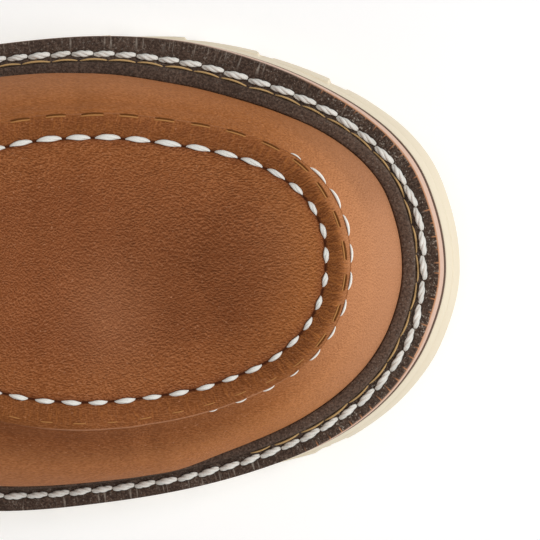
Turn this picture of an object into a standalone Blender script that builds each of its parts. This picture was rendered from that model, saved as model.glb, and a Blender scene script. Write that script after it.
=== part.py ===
"""Right moc toe work boot: lofted solids for sole, welt, upper, tongue and insole, with eyelets and lace.

Sizes are in millimetres and MM turns them into metres. The boot points along +X, its inner (medial)
side is +Y and the floor is Z = 0. "from_toe" is measured backwards from the toe tip of the welt.
"""

import math

import bmesh
import bpy
import numpy as np
from mathutils import Matrix, Vector

MM = 0.001
GAP = 0.3

# Sole stack
WELT_LENGTH = 298.0
BALL_BACK = 80.0
SPRING_RADIUS = 300.0
OUTSOLE_FOREPART = 11.0
MIDSOLE_THICK = 1.6
WELT_THICK = 3.4
RIB_RISE = 2.6
INSOLE_THICK = 4.0
FLARE_DROP = 15.0
EDGE_BEVEL = 0.5

# Side lugs and tread bars of the outsole
LUG_PITCH = 18.0
LUG_STEP = 0.6
LUG_HEIGHT = 6.5
TREAD_DEEP = 2.6
TREAD_WIDE = 4.0

# Upper
WALL = 2.4
QUARTER_STEP = 1.4
COLLAR_STEP = 0.9
COLLAR_BAND = 16.0
RIDGE_RISE = 2.1
SEAM_TIP = 24.1
VALLEY_TOE = 3.6
VALLEY_SIDE = 4.5
FAN_BACK = 60.0
QUARTER_STATION = 150.0
HEEL_SHIFT = 2.0

# Tongue, eyelets and lace
TONGUE_THICK = 2.4
TONGUE_SEAT = 0.9
TONGUE_CLEAR = 2.6
TONGUE_ABOVE = 12.0
EYELETS = 7
EYELET_FROM_EDGE = 9.5
EYELET_HOLE = 2.3
EYELET_BARREL = 2.8
EYELET_FLANGE = 4.6
EYELET_LIFT = 0.7
EYELET_RIM = 0.9
LACE_RADIUS = 1.6
LACE_CLEAR = 0.5

MEDIAL, LATERAL = 1.0, -1.0

# Outer edge of the welt: from_toe, medial and lateral half width
WELT_PLAN = (
    (0.0, 0.0, 0.0),
    (2.0, 13.2, 11.2),
    (6.0, 23.5, 20.8),
    (12.0, 31.5, 29.5),
    (20.0, 38.2, 37.0),
    (30.0, 44.2, 43.3),
    (45.0, 50.5, 49.3),
    (62.0, 54.9, 53.8),
    (80.0, 56.3, 56.8),
    (106.0, 54.4, 59.0),
    (140.0, 48.0, 56.0),
    (178.0, 43.4, 49.2),
    (215.0, 42.4, 42.6),
    (250.0, 41.6, 39.2),
    (275.0, 36.4, 33.4),
    (291.0, 23.5, 20.0),
    (298.0, 2.0, -2.0),
)

# Top of the outsole above the floor: from_toe, height
WEDGE = (
    (0.0, 11.0),
    (90.0, 11.0),
    (130.0, 13.6),
    (175.0, 19.6),
    (215.0, 25.2),
    (260.0, 30.4),
    (298.0, 32.5),
)

# How far the outsole stands out past the welt's edge at the lugs: from_toe, medial and lateral
FLARE = (
    (0.0, 4.9, 4.9),
    (4.0, 5.0, 4.7),
    (10.0, 4.5, 3.9),
    (18.0, 3.6, 2.9),
    (26.0, 2.8, 1.8),
    (34.0, 2.4, 0.6),
    (45.0, 1.9, -0.5),
    (60.0, 1.0, -0.7),
    (75.0, 0.0, -0.7),
    (90.0, -0.6, -0.7),
    (298.0, -0.6, -0.6),
)

# Set-in from the welt's edge: from_toe, then the rib's foot and the feather line, medial and lateral
BANDS = (
    (0.0, 5.9, 9.3, 5.9, 9.3),
    (5.0, 5.6, 9.0, 5.4, 8.7),
    (15.0, 5.7, 9.1, 5.0, 8.4),
    (25.0, 6.0, 9.4, 5.0, 8.25),
    (35.0, 6.5, 10.1, 4.9, 8.2),
    (45.0, 7.0, 10.75, 4.8, 8.2),
    (62.0, 7.0, 11.05, 4.8, 8.2),
    (80.0, 6.4, 10.2, 4.9, 8.2),
    (110.0, 5.9, 9.4, 5.4, 8.8),
    (150.0, 5.9, 9.2, 5.9, 9.2),
    (298.0, 5.9, 9.2, 5.9, 9.2),
)

# Crest of the moc seam: distance behind its tip, medial and lateral half width
MOC_SEAM = (
    (0.0, 0.0, 0.0),
    (1.5, 9.8, 9.0),
    (5.2, 17.6, 16.2),
    (11.0, 24.1, 22.2),
    (23.5, 30.4, 28.9),
    (41.5, 34.0, 34.2),
    (58.0, 35.4, 36.3),
    (75.0, 34.2, 35.3),
    (92.0, 30.0, 31.1),
    (112.0, 23.0, 24.2),
)

# Sections of the upper: station on the welt, then the top of the section (from_toe, half gap, height),
# then how far the curve is pulled up and out at the feather, medial and lateral, and out and down at the top
SECTIONS = (
    (0.0, 60.0, 0.0, 50.0, 26.0, 2.0, 2.0, 38.0, 0.0),
    (12.0, 60.0, 0.0, 50.0, 26.0, 2.0, 2.0, 36.0, 0.0),
    (30.0, 60.0, 0.0, 50.0, 27.0, 2.0, 3.4, 33.0, 0.0),
    (50.0, 64.0, 0.0, 51.0, 30.0, 3.0, 7.6, 32.0, 0.0),
    (65.0, 74.0, 0.0, 53.8, 33.0, 3.5, 12.2, 33.0, 0.0),
    (80.0, 84.0, 0.0, 57.0, 36.0, 4.5, 11.4, 34.0, 0.0),
    (106.0, 97.0, 0.0, 62.5, 39.0, 6.5, 11.0, 32.0, 1.0),
    (130.0, 106.0, 0.0, 67.5, 41.0, 6.5, 10.0, 29.0, 1.5),
    (150.0, 112.0, 0.0, 71.0, 42.0, 6.0, 9.0, 26.0, 2.0),
    (156.0, 118.0, 9.0, 76.0, 44.0, 7.0, 9.0, 22.0, 5.0),
    (170.0, 140.0, 12.5, 97.5, 52.0, 8.0, 10.0, 22.0, 12.0),
    (184.0, 158.0, 13.0, 130.0, 60.0, 9.0, 10.0, 22.0, 22.0),
    (196.0, 167.0, 14.0, 166.0, 66.0, 9.0, 10.0, 21.0, 34.0),
    (203.0, 169.5, 16.0, 187.0, 66.0, 9.0, 9.0, 18.0, 44.0),
    (209.0, 178.0, 27.0, 190.5, 62.0, 9.0, 9.0, 8.0, 54.0),
    (222.0, 205.0, 39.5, 189.5, 56.0, 9.0, 9.0, -5.0, 62.0),
    (246.0, 238.0, 41.0, 190.0, 52.0, 9.5, 9.5, -8.5, 64.0),
    (272.0, 265.0, 31.0, 192.5, 48.0, 9.5, 9.5, -9.0, 64.0),
    (298.0, 284.0, 0.0, 195.0, 44.0, 10.0, 10.0, -9.5, 62.0),
)


def station(from_toe):
    """Place along a side, 0 at the toe tip and 1 at the heel, spaced so that both ends come out round."""
    return np.arccos(np.clip(1.0 - 2.0 * np.asarray(from_toe) / WELT_LENGTH, -1.0, 1.0)) / math.pi


def from_toe_of(place):
    """Distance behind the welt's toe tip at a place along a side."""
    return WELT_LENGTH * (1.0 - np.cos(math.pi * np.asarray(place))) / 2.0


def flow(at, xs, ys, steady=False):
    """Smooth curve through table values; a steady one never overshoots and ends level."""
    at, xs, ys = (np.asarray(v, float) for v in (at, xs, ys))
    step = np.diff(xs)
    rise = np.diff(ys) / step
    slope = np.empty_like(ys)
    slope[1:-1] = (rise[:-1] * step[1:] + rise[1:] * step[:-1]) / (step[1:] + step[:-1])
    slope[0] = 2.0 * rise[0] - slope[1]
    slope[-1] = 2.0 * rise[-1] - slope[-2]
    if steady:
        limit = 2.5 * np.minimum(abs(rise[:-1]), abs(rise[1:]))
        same = rise[:-1] * rise[1:] > 0.0
        slope[1:-1] = np.where(same, np.clip(slope[1:-1], -limit, limit), 0.0)
        slope[0] = slope[-1] = 0.0
    at = np.clip(at, xs[0], xs[-1])
    i = np.clip(np.searchsorted(xs, at, side="right") - 1, 0, len(step) - 1)
    h = step[i]
    u = (at - xs[i]) / h
    start = ys[i] * (1.0 + 2.0 * u) * (1.0 - u) ** 2 + h * slope[i] * u * (1.0 - u) ** 2
    finish = ys[i + 1] * (3.0 - 2.0 * u) * u**2 + h * slope[i + 1] * u**2 * (u - 1.0)
    return start + finish


def ease(value, start, finish):
    """0 before start, 1 after finish, smooth between."""
    u = np.clip((np.asarray(value, float) - start) / (finish - start), 0.0, 1.0)
    return u * u * (3.0 - 2.0 * u)


def welt_edge(place, side):
    """Plan point on the welt's outer edge."""
    rows = np.array(WELT_PLAN)
    column = 1 if side > 0 else 2
    y = flow(place, station(rows[:, 0]), rows[:, column])
    return np.stack([-from_toe_of(place), side * y], axis=-1)


def plan_out(place, side):
    """Unit vector in plan, out of the boot, at right angles to the welt's edge."""
    place = np.asarray(place, float)
    before = welt_edge(np.clip(place - 1e-4, 0.0, 1.0), side)
    after = welt_edge(np.clip(place + 1e-4, 0.0, 1.0), side)
    run = (after - before) / np.linalg.norm(after - before, axis=-1, keepdims=True)
    out = np.stack([side * run[..., 1], -side * run[..., 0]], axis=-1)
    tip = np.stack([np.where(place < 0.5, 1.0, -1.0), np.zeros_like(place)], axis=-1)
    at_tip = (place < 1e-6) | (place > 1.0 - 1e-6)
    return np.where(at_tip[..., None], tip, out)


def band(place, side, column):
    """Set-in of the rib's foot (column 0) or the feather line (column 1) from the welt's edge."""
    rows = np.array(BANDS)
    pick = 1 + column + (0 if side > 0 else 2)
    return flow(place, station(rows[:, 0]), rows[:, pick], steady=True)


def flare(place, side):
    """How far the outsole stands out past the welt's edge at the lugs."""
    rows = np.array(FLARE)
    return flow(place, station(rows[:, 0]), rows[:, 1 if side > 0 else 2], steady=True)


def inset(place, side, depth):
    """Plan point set in from the welt's edge."""
    return welt_edge(place, side) - plan_out(place, side) * np.asarray(depth)[..., None]


def wedge_top(x):
    """Height of the outsole's top over the flat floor."""
    rows = np.array(WEDGE)
    return flow(-np.asarray(x), rows[:, 0], rows[:, 1], steady=True)


def spring_angle(x):
    """Slope of the forepart where it curves up to the toe."""
    return np.maximum(np.asarray(x) + BALL_BACK, 0.0) / SPRING_RADIUS


def placed(points):
    """Flat points lifted by the toe spring."""
    points = np.asarray(points, float)
    x, y, z = points[..., 0], points[..., 1], points[..., 2]
    lift = SPRING_RADIUS * (1.0 - np.cos(spring_angle(x)))
    return np.stack([x, y, z + lift], axis=-1)


def section_values(place):
    """Columns of the section table at a place along a side."""
    rows = np.array(SECTIONS)
    at = station(rows[:, 0])
    columns = [flow(place, at, rows[:, c], steady=True) for c in range(1, rows.shape[1])]
    columns[1] = np.maximum(flow(place, at, rows[:, 2]), 0.0)
    columns[1] = np.where(np.asarray(place) <= station(QUARTER_STATION) + 1e-9, 0.0, columns[1])
    columns[0] = np.maximum(columns[0], FAN_BACK)
    return columns


def upper_bottom(x):
    """Height at which upper, welt and insole stand on the midsole."""
    return wedge_top(x) + MIDSOLE_THICK + 2.0 * GAP


def section_handles(place, side):
    """The four points that draw one section of the upper from feather to top."""
    back, half, height, low_up, low_m, low_l, high_out, high_down = section_values(place)
    feather = inset(place, side, band(place, side, 1))
    out = plan_out(place, side)
    axis = HEEL_SHIFT * back / WELT_LENGTH
    closed = np.asarray(place) <= station(QUARTER_STATION) + 1e-9
    low_out = low_m if side > 0 else low_l
    p0 = np.stack([feather[..., 0], feather[..., 1], upper_bottom(feather[..., 0])], axis=-1)
    p3 = np.stack([-back, np.where(closed, 0.0, axis) + side * half, height], axis=-1)
    up = np.array([0.0, 0.0, 1.0])
    flat_out = np.stack([out[..., 0], out[..., 1], np.zeros_like(out[..., 0])], axis=-1)
    p1 = p0 + up * low_up[..., None] + flat_out * low_out[..., None]
    p2 = p3 - up * high_down[..., None] + flat_out * high_out[..., None]
    return p0, p1, p2, p3


def upper_skin(place, side, t):
    """Point on the smooth skin of the upper: t is 0 at the feather and 1 at the top of the section."""
    p0, p1, p2, p3 = section_handles(place, side)
    t = np.asarray(t, float)[..., None]
    return p0 * (1 - t) ** 3 + 3 * p1 * t * (1 - t) ** 2 + 3 * p2 * t**2 * (1 - t) + p3 * t**3


def upper_normal(place, side, t):
    """Unit vector out of the upper's skin."""
    place, t = np.broadcast_arrays(np.asarray(place, float), np.asarray(t, float))
    front = float(station(QUARTER_STATION))
    closed = place <= front + 1e-9
    d = 1e-3
    under = np.minimum(t, 0.985)
    before = np.where(closed, np.clip(place - d, 0.0, front - d), np.clip(place - d, front + d, 1.0 - d))
    after = before + d
    along = upper_skin(after, side, under) - upper_skin(before, side, under)
    across = upper_skin(place, side, under + d) - upper_skin(place, side, np.maximum(under - d, 0.0))
    normal = np.cross(along, across) * side
    normal = normal / np.maximum(np.linalg.norm(normal, axis=-1, keepdims=True), 1e-12)
    ridge = upper_skin(after, side, np.ones_like(t)) - upper_skin(before, side, np.ones_like(t))
    upright = np.stack([ridge[..., 2], np.zeros_like(t), -ridge[..., 0] + 1e-9], axis=-1)
    upright = upright / np.linalg.norm(upright, axis=-1, keepdims=True)
    return np.where((closed & (t > 0.999))[..., None], upright, normal)


def seam_half(x, side):
    """Half width of the moc seam's crest, negative ahead of its tip."""
    rows = np.array(MOC_SEAM)
    behind = -np.asarray(x) - SEAM_TIP
    column = 1 if side > 0 else 2
    half = flow(np.sqrt(np.maximum(behind, 0.0)), np.sqrt(rows[:, 0]), rows[:, column])
    return np.where(behind > 0.0, half, behind)


def seam_place(place, side):
    """Where the moc seam's crest crosses each section; on the quarters it runs on to half way up."""
    behind = ease(place, float(station(QUARTER_STATION)), 0.9)
    place = np.minimum(np.asarray(place, float), station(QUARTER_STATION))
    low, high = np.zeros_like(place), np.ones_like(place)
    for _ in range(30):
        middle = (low + high) / 2.0
        point = upper_skin(place, side, middle)
        inside = side * point[..., 1] < seam_half(point[..., 0], side)
        low, high = np.where(inside, low, middle), np.where(inside, middle, high)
    crest = (low + high) / 2.0
    return crest + (0.5 - crest) * behind


def section_speed(place, side, t):
    """Millimetres of section per unit of t."""
    step = 1e-3
    ahead = upper_skin(place, side, np.minimum(np.asarray(t) + step, 1.0))
    behind = upper_skin(place, side, np.maximum(np.asarray(t) - step, 0.0))
    return np.linalg.norm(ahead - behind, axis=-1) / (2.0 * step)


class Shell:
    """Collects faces by their corner points, so that points at one place become one vertex."""

    def __init__(self):
        self.index = {}
        self.points = []
        self.faces = []

    def vertex(self, point):
        """Number of the vertex at a point."""
        key = tuple(int(round(v * 2000.0)) for v in point)
        if key not in self.index:
            self.index[key] = len(self.points)
            self.points.append(tuple(float(v) * MM for v in point))
        return self.index[key]

    def face(self, corners):
        """Adds a face, leaving out corners that fall together."""
        numbers = []
        for corner in corners:
            number = self.vertex(corner)
            if number not in numbers:
                numbers.append(number)
        if len(numbers) > 2:
            self.faces.append(numbers)

    def loft(self, rows, closed=False):
        """Quads between each row of points and the next."""
        for a, b in zip(rows, rows[1:]):
            count = len(a)
            for i in range(count if closed else count - 1):
                j = (i + 1) % count
                self.face((a[i], a[j], b[j], b[i]))

    def build(self, name, home, material):
        """Turns the collected faces into one object of the boot."""
        mesh = bpy.data.meshes.new(name)
        mesh.from_pydata(self.points, [], self.faces)
        body = bmesh.new()
        body.from_mesh(mesh)
        bmesh.ops.triangulate(body, faces=[f for f in body.faces if len(f.verts) > 3])
        bmesh.ops.recalc_face_normals(body, faces=body.faces)
        body.to_mesh(mesh)
        body.free()
        mesh.update()
        return add_object(name, mesh, home, material)


def add_object(name, mesh, home, material):
    """Links a mesh as a named piece, shaded smooth up to 35 degrees."""
    item = bpy.data.objects.new(name, mesh)
    home.objects.link(item)
    if material is not None:
        mesh.materials.append(material)
    mesh.polygons.foreach_set("use_smooth", [True] * len(mesh.polygons))
    mesh.set_sharp_from_angle(angle=math.radians(35.0))
    return item


def finish(name, colour, roughness, metallic=0.0):
    """A plain finish for one kind of material."""
    material = bpy.data.materials.new(name)
    material.use_nodes = True
    shader = material.node_tree.nodes["Principled BSDF"]
    shader.inputs["Base Color"].default_value = (*colour, 1.0)
    shader.inputs["Roughness"].default_value = roughness
    shader.inputs["Metallic"].default_value = metallic
    return material


def centred(points):
    """Points moved so that the boot's box stands centred on the origin."""
    return np.asarray(points) - CENTRE


def ring(places, depth_of, height_of):
    """Closed ring of points round the boot: inner side from toe to heel, outer side back to the toe.

    Below the welt's top the outer layers lean out as far as the flare asks for.
    """
    welt_top = WELT_THICK + MIDSOLE_THICK + 2.0 * GAP
    sides = []
    for side in (MEDIAL, LATERAL):
        depth = np.asarray(depth_of(places, side), float)
        plan = inset(places, side, depth)
        height = np.asarray(height_of(plan[:, 0]), float)
        drop = np.clip((wedge_top(plan[:, 0]) + welt_top - height) / FLARE_DROP, 0.0, 1.1)
        lean = flare(places, side) * drop * np.clip(1.0 - depth / 5.0, 0.0, 1.0)
        plan = inset(places, side, depth - lean)
        sides.append(placed(np.concatenate([plan, height[:, None]], axis=1)))
    return np.concatenate([sides[0], sides[1][-2:0:-1]])


def plate(shell, rings, count):
    """Solid between stacked rings, closed below and above by strips from side to side."""
    shell.loft(rings, closed=True)
    for edge, flip in ((rings[0], False), (rings[-1], True)):
        inner = edge[:count]
        outer = np.concatenate([edge[:1], edge[:count - 1:-1], edge[count - 1:count]])
        shell.loft((inner, outer) if flip else (outer, inner))


def sole_places(count):
    """Even places along a side."""
    return np.linspace(0.0, 1.0, count)


def lug_swell(places, side):
    """How far each side lug stands out: widest at its front end and running back to nothing."""
    edge = welt_edge(places, side)
    run = np.concatenate([[0.0], np.cumsum(np.linalg.norm(np.diff(edge, axis=0), axis=1))])
    phase = (run / LUG_PITCH) % 1.0
    strength = ease(run, 40.0, 50.0) * (1.0 - ease(run, 292.0, 312.0))
    return LUG_STEP * (1.0 - phase) * strength


def lug_places(count):
    """Places along a side with a pair just before and after each lug's step."""
    fine = np.linspace(0.0, 1.0, 4001)
    edge = welt_edge(fine, MEDIAL)
    run = np.concatenate([[0.0], np.cumsum(np.linalg.norm(np.diff(edge, axis=0), axis=1))])
    steps = np.arange(3, int(312.0 / LUG_PITCH)) * LUG_PITCH
    paired = np.interp(np.concatenate([steps - 0.15, steps + 0.45]), run, fine)
    return np.unique(np.concatenate([np.linspace(0.0, 1.0, count), paired]))


def outsole_rings():
    """Rings of the cream wedge, from the floor up."""
    places = lug_places(30)

    def level(low):
        return lambda x: np.full(np.shape(x), low)

    def part_way(share):
        return lambda x: LUG_HEIGHT + (wedge_top(x) - LUG_HEIGHT) * share

    def lugs(extra):
        return lambda p, s: extra - lug_swell(p, s)

    def smooth(extra):
        return lambda p, s: np.full(np.shape(p), extra)

    return places, [
        ring(places, lugs(0.9), level(0.0)),
        ring(places, lugs(0.0), level(1.0)),
        ring(places, lugs(0.0), level(LUG_HEIGHT - 0.4)),
        ring(places, smooth(0.25), level(LUG_HEIGHT)),
        ring(places, smooth(0.0), part_way(0.9)),
        ring(places, smooth(EDGE_BEVEL), part_way(1.0)),
    ]


CENTRE = np.zeros(3)


def edge_rings():
    """The two rings of the welt's outer edge."""
    rings = []
    for rise in (0.0, WELT_THICK - EDGE_BEVEL):
        rings.append(ring(sole_places(37), lambda p, s: np.zeros(np.shape(p)),
                          lambda x, r=rise: upper_bottom(x) + r))
    return rings


def find_centre():
    """Middle in plan of the box round outsole and welt, which hold the widest and longest points."""
    points = np.concatenate(outsole_rings()[1] + edge_rings())
    low, high = points.min(axis=0), points.max(axis=0)
    return np.array([(low[0] + high[0]) / 2.0, (low[1] + high[1]) / 2.0, 0.0])


def make_outsole(home, tools, material):
    """Cream wedge with stepped side lugs; bars cut across the tread."""
    places, rings = outsole_rings()
    shell = Shell()
    plate(shell, [centred(r) for r in rings], len(places))
    outsole = shell.build("outsole", home, material)
    bars = list(np.arange(24.0, 128.0, LUG_PITCH)) + list(np.arange(206.0, 288.0, LUG_PITCH))
    cutter = bmesh.new()
    for back in bars:
        angle = float(spring_angle(-back))
        middle = centred(placed(np.array([-back, 0.0, 0.0])))
        turn = Matrix.Rotation(-angle, 4, "Y")
        size = Matrix.Diagonal((TREAD_WIDE * MM, 170.0 * MM, 2.0 * TREAD_DEEP * MM, 1.0))
        bmesh.ops.create_cube(cutter, size=1.0, matrix=Matrix.Translation(Vector(middle * MM)) @ turn @ size)
    mesh = bpy.data.meshes.new("tread_bars")
    cutter.to_mesh(mesh)
    cutter.free()
    knife = add_object("tread_bars", mesh, tools, None)
    carve(outsole, knife, "DIFFERENCE")
    return outsole


def carve(item, tool, operation):
    """Applies an exact Boolean and leaves the tool hidden as wire."""
    cut = item.modifiers.new("cut", "BOOLEAN")
    cut.operation = operation
    cut.solver = "EXACT"
    cut.object = tool
    tool.hide_render = True
    tool.display_type = "WIRE"
    bpy.context.view_layer.update()
    graph = bpy.context.evaluated_depsgraph_get()
    mesh = bpy.data.meshes.new_from_object(item.evaluated_get(graph))
    item.modifiers.clear()
    old = item.data
    item.data = mesh
    bpy.data.meshes.remove(old)
    mesh.name = item.name
    mesh.polygons.foreach_set("use_smooth", [True] * len(mesh.polygons))
    mesh.set_sharp_from_angle(angle=math.radians(35.0))


def make_midsole(home, material):
    """Thin sheet between outsole and welt, its edge a little inside theirs."""
    places = sole_places(40)
    shell = Shell()
    rings = []
    for depth, rise in ((0.3, GAP), (0.3, GAP + MIDSOLE_THICK)):
        rings.append(centred(ring(places, lambda p, s, d=depth: np.full(np.shape(p), d),
                                  lambda x, r=rise: wedge_top(x) + r)))
    plate(shell, rings, len(places))
    return shell.build("midsole", home, material)


def bulge_at(places, side, rise):
    """How far the upper stands out over its feather line at a height above its bottom edge."""
    t = np.linspace(0.0, 0.4, 81)
    feather = inset(places, side, band(places, side, 1))
    out = plan_out(places, side)
    result = []
    for i, place in enumerate(places):
        skin = upper_skin(np.full(t.shape, place), side, t)
        ahead = (skin[:, :2] - feather[i]) @ out[i]
        result.append(np.interp(rise, skin[:, 2] - skin[0, 2], ahead))
    return np.array(result)


def make_welt(home, material):
    """Stitched margin and raised rib, following the upper on its inner face."""
    places = sole_places(37)
    top = WELT_THICK + RIB_RISE

    room_start = float(station(QUARTER_STATION - 16.0))
    room_finish = float(station(QUARTER_STATION - 7.0))

    def room(p):
        return QUARTER_STEP * ease(p, room_start, room_finish)

    def inner(rise):
        return lambda p, s: band(p, s, 1) - GAP - room(p) - bulge_at(p, s, rise)

    def rib_foot(more):
        return lambda p, s: band(p, s, 0) - room(p) - more

    def rib_at(rise, share):
        return lambda p, s: rib_foot(0.0)(p, s) * (1.0 - share) + inner(rise)(p, s) * share

    def depth(value):
        return lambda p, s: np.full(np.shape(p), value)

    profile = (
        (depth(0.0), 0.0),
        (depth(0.0), WELT_THICK - EDGE_BEVEL),
        (depth(EDGE_BEVEL), WELT_THICK),
        (rib_foot(0.7), WELT_THICK),
        (rib_foot(0.0), WELT_THICK + 0.5),
        (rib_at(top, 0.10), top - 0.7),
        (rib_at(top, 0.40), top),
        (rib_at(top, 0.85), top - 0.2),
        (inner(top - 0.8), top - 0.8),
        (inner(0.0), 0.0),
    )
    rings = []
    for depth_of, rise in profile:
        rings.append(centred(ring(places, depth_of, lambda x, r=rise: upper_bottom(x) + r)))
    shell = Shell()
    shell.loft(rings + rings[:1], closed=True)
    return shell.build("welt", home, material)


def make_insole(home, material):
    """Board and footbed, rounded at its upper edge."""
    places = sole_places(28)
    shell = Shell()
    rings = []
    margin = WALL + 0.5
    for depth, rise in ((margin, 0.0), (margin, INSOLE_THICK - 1.0), (margin + 1.0, INSOLE_THICK)):
        rings.append(centred(ring(places, lambda p, s, d=depth: band(p, s, 1) + d,
                                  lambda x, r=rise: upper_bottom(x) + r)))
    plate(shell, rings, len(places))
    return shell.build("insole", home, material)


def upper_places():
    """Places along a side, close together where the form turns or steps."""
    front = float(station(QUARTER_STATION))
    marks = [
        np.linspace(0.0, float(station(34.0)), 11),
        np.linspace(float(station(34.0)), front, 10),
        np.array([front, front + 0.0016]),
        station(np.array([152.0, 154.5, 158.0, 163.0])),
        np.linspace(float(station(170.0)), float(station(199.0)), 4),
        station(np.array([202.0, 205.0, 208.0, 212.0])),
        np.linspace(float(station(216.0)), 1.0, 12),
    ]
    return np.unique(np.concatenate(marks))


def outer_rows(places, side):
    """Places up each section for the outer face, with rows along the moc seam and the collar band."""
    seam = seam_place(places, side)
    speed = section_speed(places, side, seam)
    rows = [seam * share for share in (0.0, 0.17, 0.36, 0.60)]
    toe = 1.0 - ease(places, 0.0, float(station(30.0)))
    valley = VALLEY_SIDE + (VALLEY_TOE - VALLEY_SIDE) * toe
    for across, inwards in ((-5.0, 0.0), (-1.5, 0.0), (0.6, 0.0), (0.0, 0.52), (0.0, 1.0), (1.3, 1.0)):
        rows.append(seam + (across + inwards * valley) / speed)
    last = rows[-1]
    band = 1.0 - COLLAR_BAND / section_speed(places, side, np.full(np.shape(places), 0.97))
    for share in (0.3, 0.58, 0.82):
        rows.append(last + (np.maximum(band, last + 0.1) - last) * share)
    edge = np.clip(band, last + 0.02, 0.98)
    rows.append(edge)
    rows.append(np.minimum(edge + 0.006, 0.99))
    rows.append(np.ones_like(seam))
    return np.array(rows)


RIDGE = (0.0, 0.0, 0.0, 0.0, 0.05, 0.85, 1.0, 0.5, -0.2, 0.0, 0.0, 0.0, 0.0, 0.0, 0.0, 0.0)


def overlay(places):
    """Extra thickness on the outer face: the moc seam on the vamp, the quarters and their collar band."""
    front = float(station(QUARTER_STATION))
    quarter = np.where(places > front + 1e-6, 1.0, 0.0)
    fade = 1.0 - ease(places, float(station(132.0)), front)
    collar = ease(places, float(station(203.0)), float(station(211.0)))
    steps = []
    for row, share in enumerate(RIDGE):
        rise = share * RIDGE_RISE * fade * (1.0 - quarter) + QUARTER_STEP * quarter
        if row >= len(RIDGE) - 2:
            rise = rise + COLLAR_STEP * collar * quarter
        steps.append(rise)
    return np.array(steps)


def upper_faces(places, side):
    """Outer and inner grids of one half of the upper, a row of points for each place up the section."""
    rows = outer_rows(places, side)
    rise = overlay(places)
    outer, inner = [], []
    for t, step in zip(rows, rise):
        skin = upper_skin(places, side, t)
        normal = level_foot(upper_normal(places, side, t), t)
        outer.append(centred(placed(skin + normal * step[:, None])))
    for share in (0.0, 0.16, 0.34, 0.52, 0.68, 0.80, 0.90, 1.0):
        t = np.full(places.shape, share)
        normal = level_foot(upper_normal(places, side, t), t)
        inner.append(centred(placed(upper_skin(places, side, t) - normal * WALL)))
    return np.array(outer), np.array(inner)


def level_foot(normal, t):
    """Normals made level at the feather line, so that the bottom edge stands flat."""
    flat = normal.copy()
    flat[..., 2] = flat[..., 2] * ease(t, 0.0, 0.12)
    return flat / np.linalg.norm(flat, axis=-1, keepdims=True)


def make_upper(home, tools, material):
    """One hollow wall: vamp with its moc seam, quarters, collar; open below, at the throat and above."""
    places = upper_places()
    closed = places <= float(station(QUARTER_STATION)) + 1e-9
    shell = Shell()
    for side in (MEDIAL, LATERAL):
        outer, inner = upper_faces(places, side)
        for grid in (outer, inner):
            grid[-1][closed, 1] = -CENTRE[1]
            grid[:, 0, 1] = -CENTRE[1]
            grid[:, -1, 1] = HEEL_SHIFT - CENTRE[1]
        shell.loft(outer)
        shell.loft(inner[::-1])
        shell.loft((inner[0], outer[0]))
        for i in range(len(places) - 1):
            if not (closed[i] and closed[i + 1]):
                shell.face((outer[-1][i], outer[-1][i + 1], inner[-1][i + 1], inner[-1][i]))
    upper = shell.build("upper", home, material)
    holes = bmesh.new()
    for side in (MEDIAL, LATERAL):
        for point, normal in eyelet_spots(side):
            turn = Vector(normal).to_track_quat("Z", "Y").to_matrix().to_4x4()
            bmesh.ops.create_cone(holes, cap_ends=True, segments=12, depth=12.0 * MM,
                                  radius1=(EYELET_BARREL + GAP + 0.1) * MM,
                                  radius2=(EYELET_BARREL + GAP + 0.1) * MM,
                                  matrix=Matrix.Translation(Vector(point * MM)) @ turn)
    mesh = bpy.data.meshes.new("eyelet_holes")
    holes.to_mesh(mesh)
    holes.free()
    carve(upper, add_object("eyelet_holes", mesh, tools, None), "DIFFERENCE")
    return upper


def throat_places(count):
    """Places whose tops are evenly spaced along the eyestay edge, from throat to collar."""
    fine = np.linspace(float(station(154.0)), float(station(201.0)), 400)
    edge = upper_skin(fine, MEDIAL, np.ones_like(fine))
    run = np.concatenate([[0.0], np.cumsum(np.linalg.norm(np.diff(edge, axis=0), axis=1))])
    return np.interp(np.linspace(0.09, 0.975, count) * run[-1], run, fine)


def from_edge(places, side, distance):
    """Places up the section at a distance in from the eyestay edge."""
    t = np.ones_like(places)
    for _ in range(6):
        speed = section_speed(places, side, (1.0 + t) / 2.0)
        t = 1.0 - distance / speed
    return t


def lifted(places, side, distance, lift):
    """Points over the quarter's outer face at a distance in from the eyestay edge, with their normals."""
    t = from_edge(places, side, distance)
    normal = upper_normal(places, side, t)
    skin = upper_skin(places, side, t) + normal * (QUARTER_STEP + lift)
    return centred(placed(skin)), normal


def eyelet_spots(side):
    """Centres of the eyelets on the quarter's outer face, with the direction out of it."""
    points, normals = lifted(throat_places(EYELETS), side, EYELET_FROM_EDGE, 0.0)
    return list(zip(points, normals))


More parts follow.
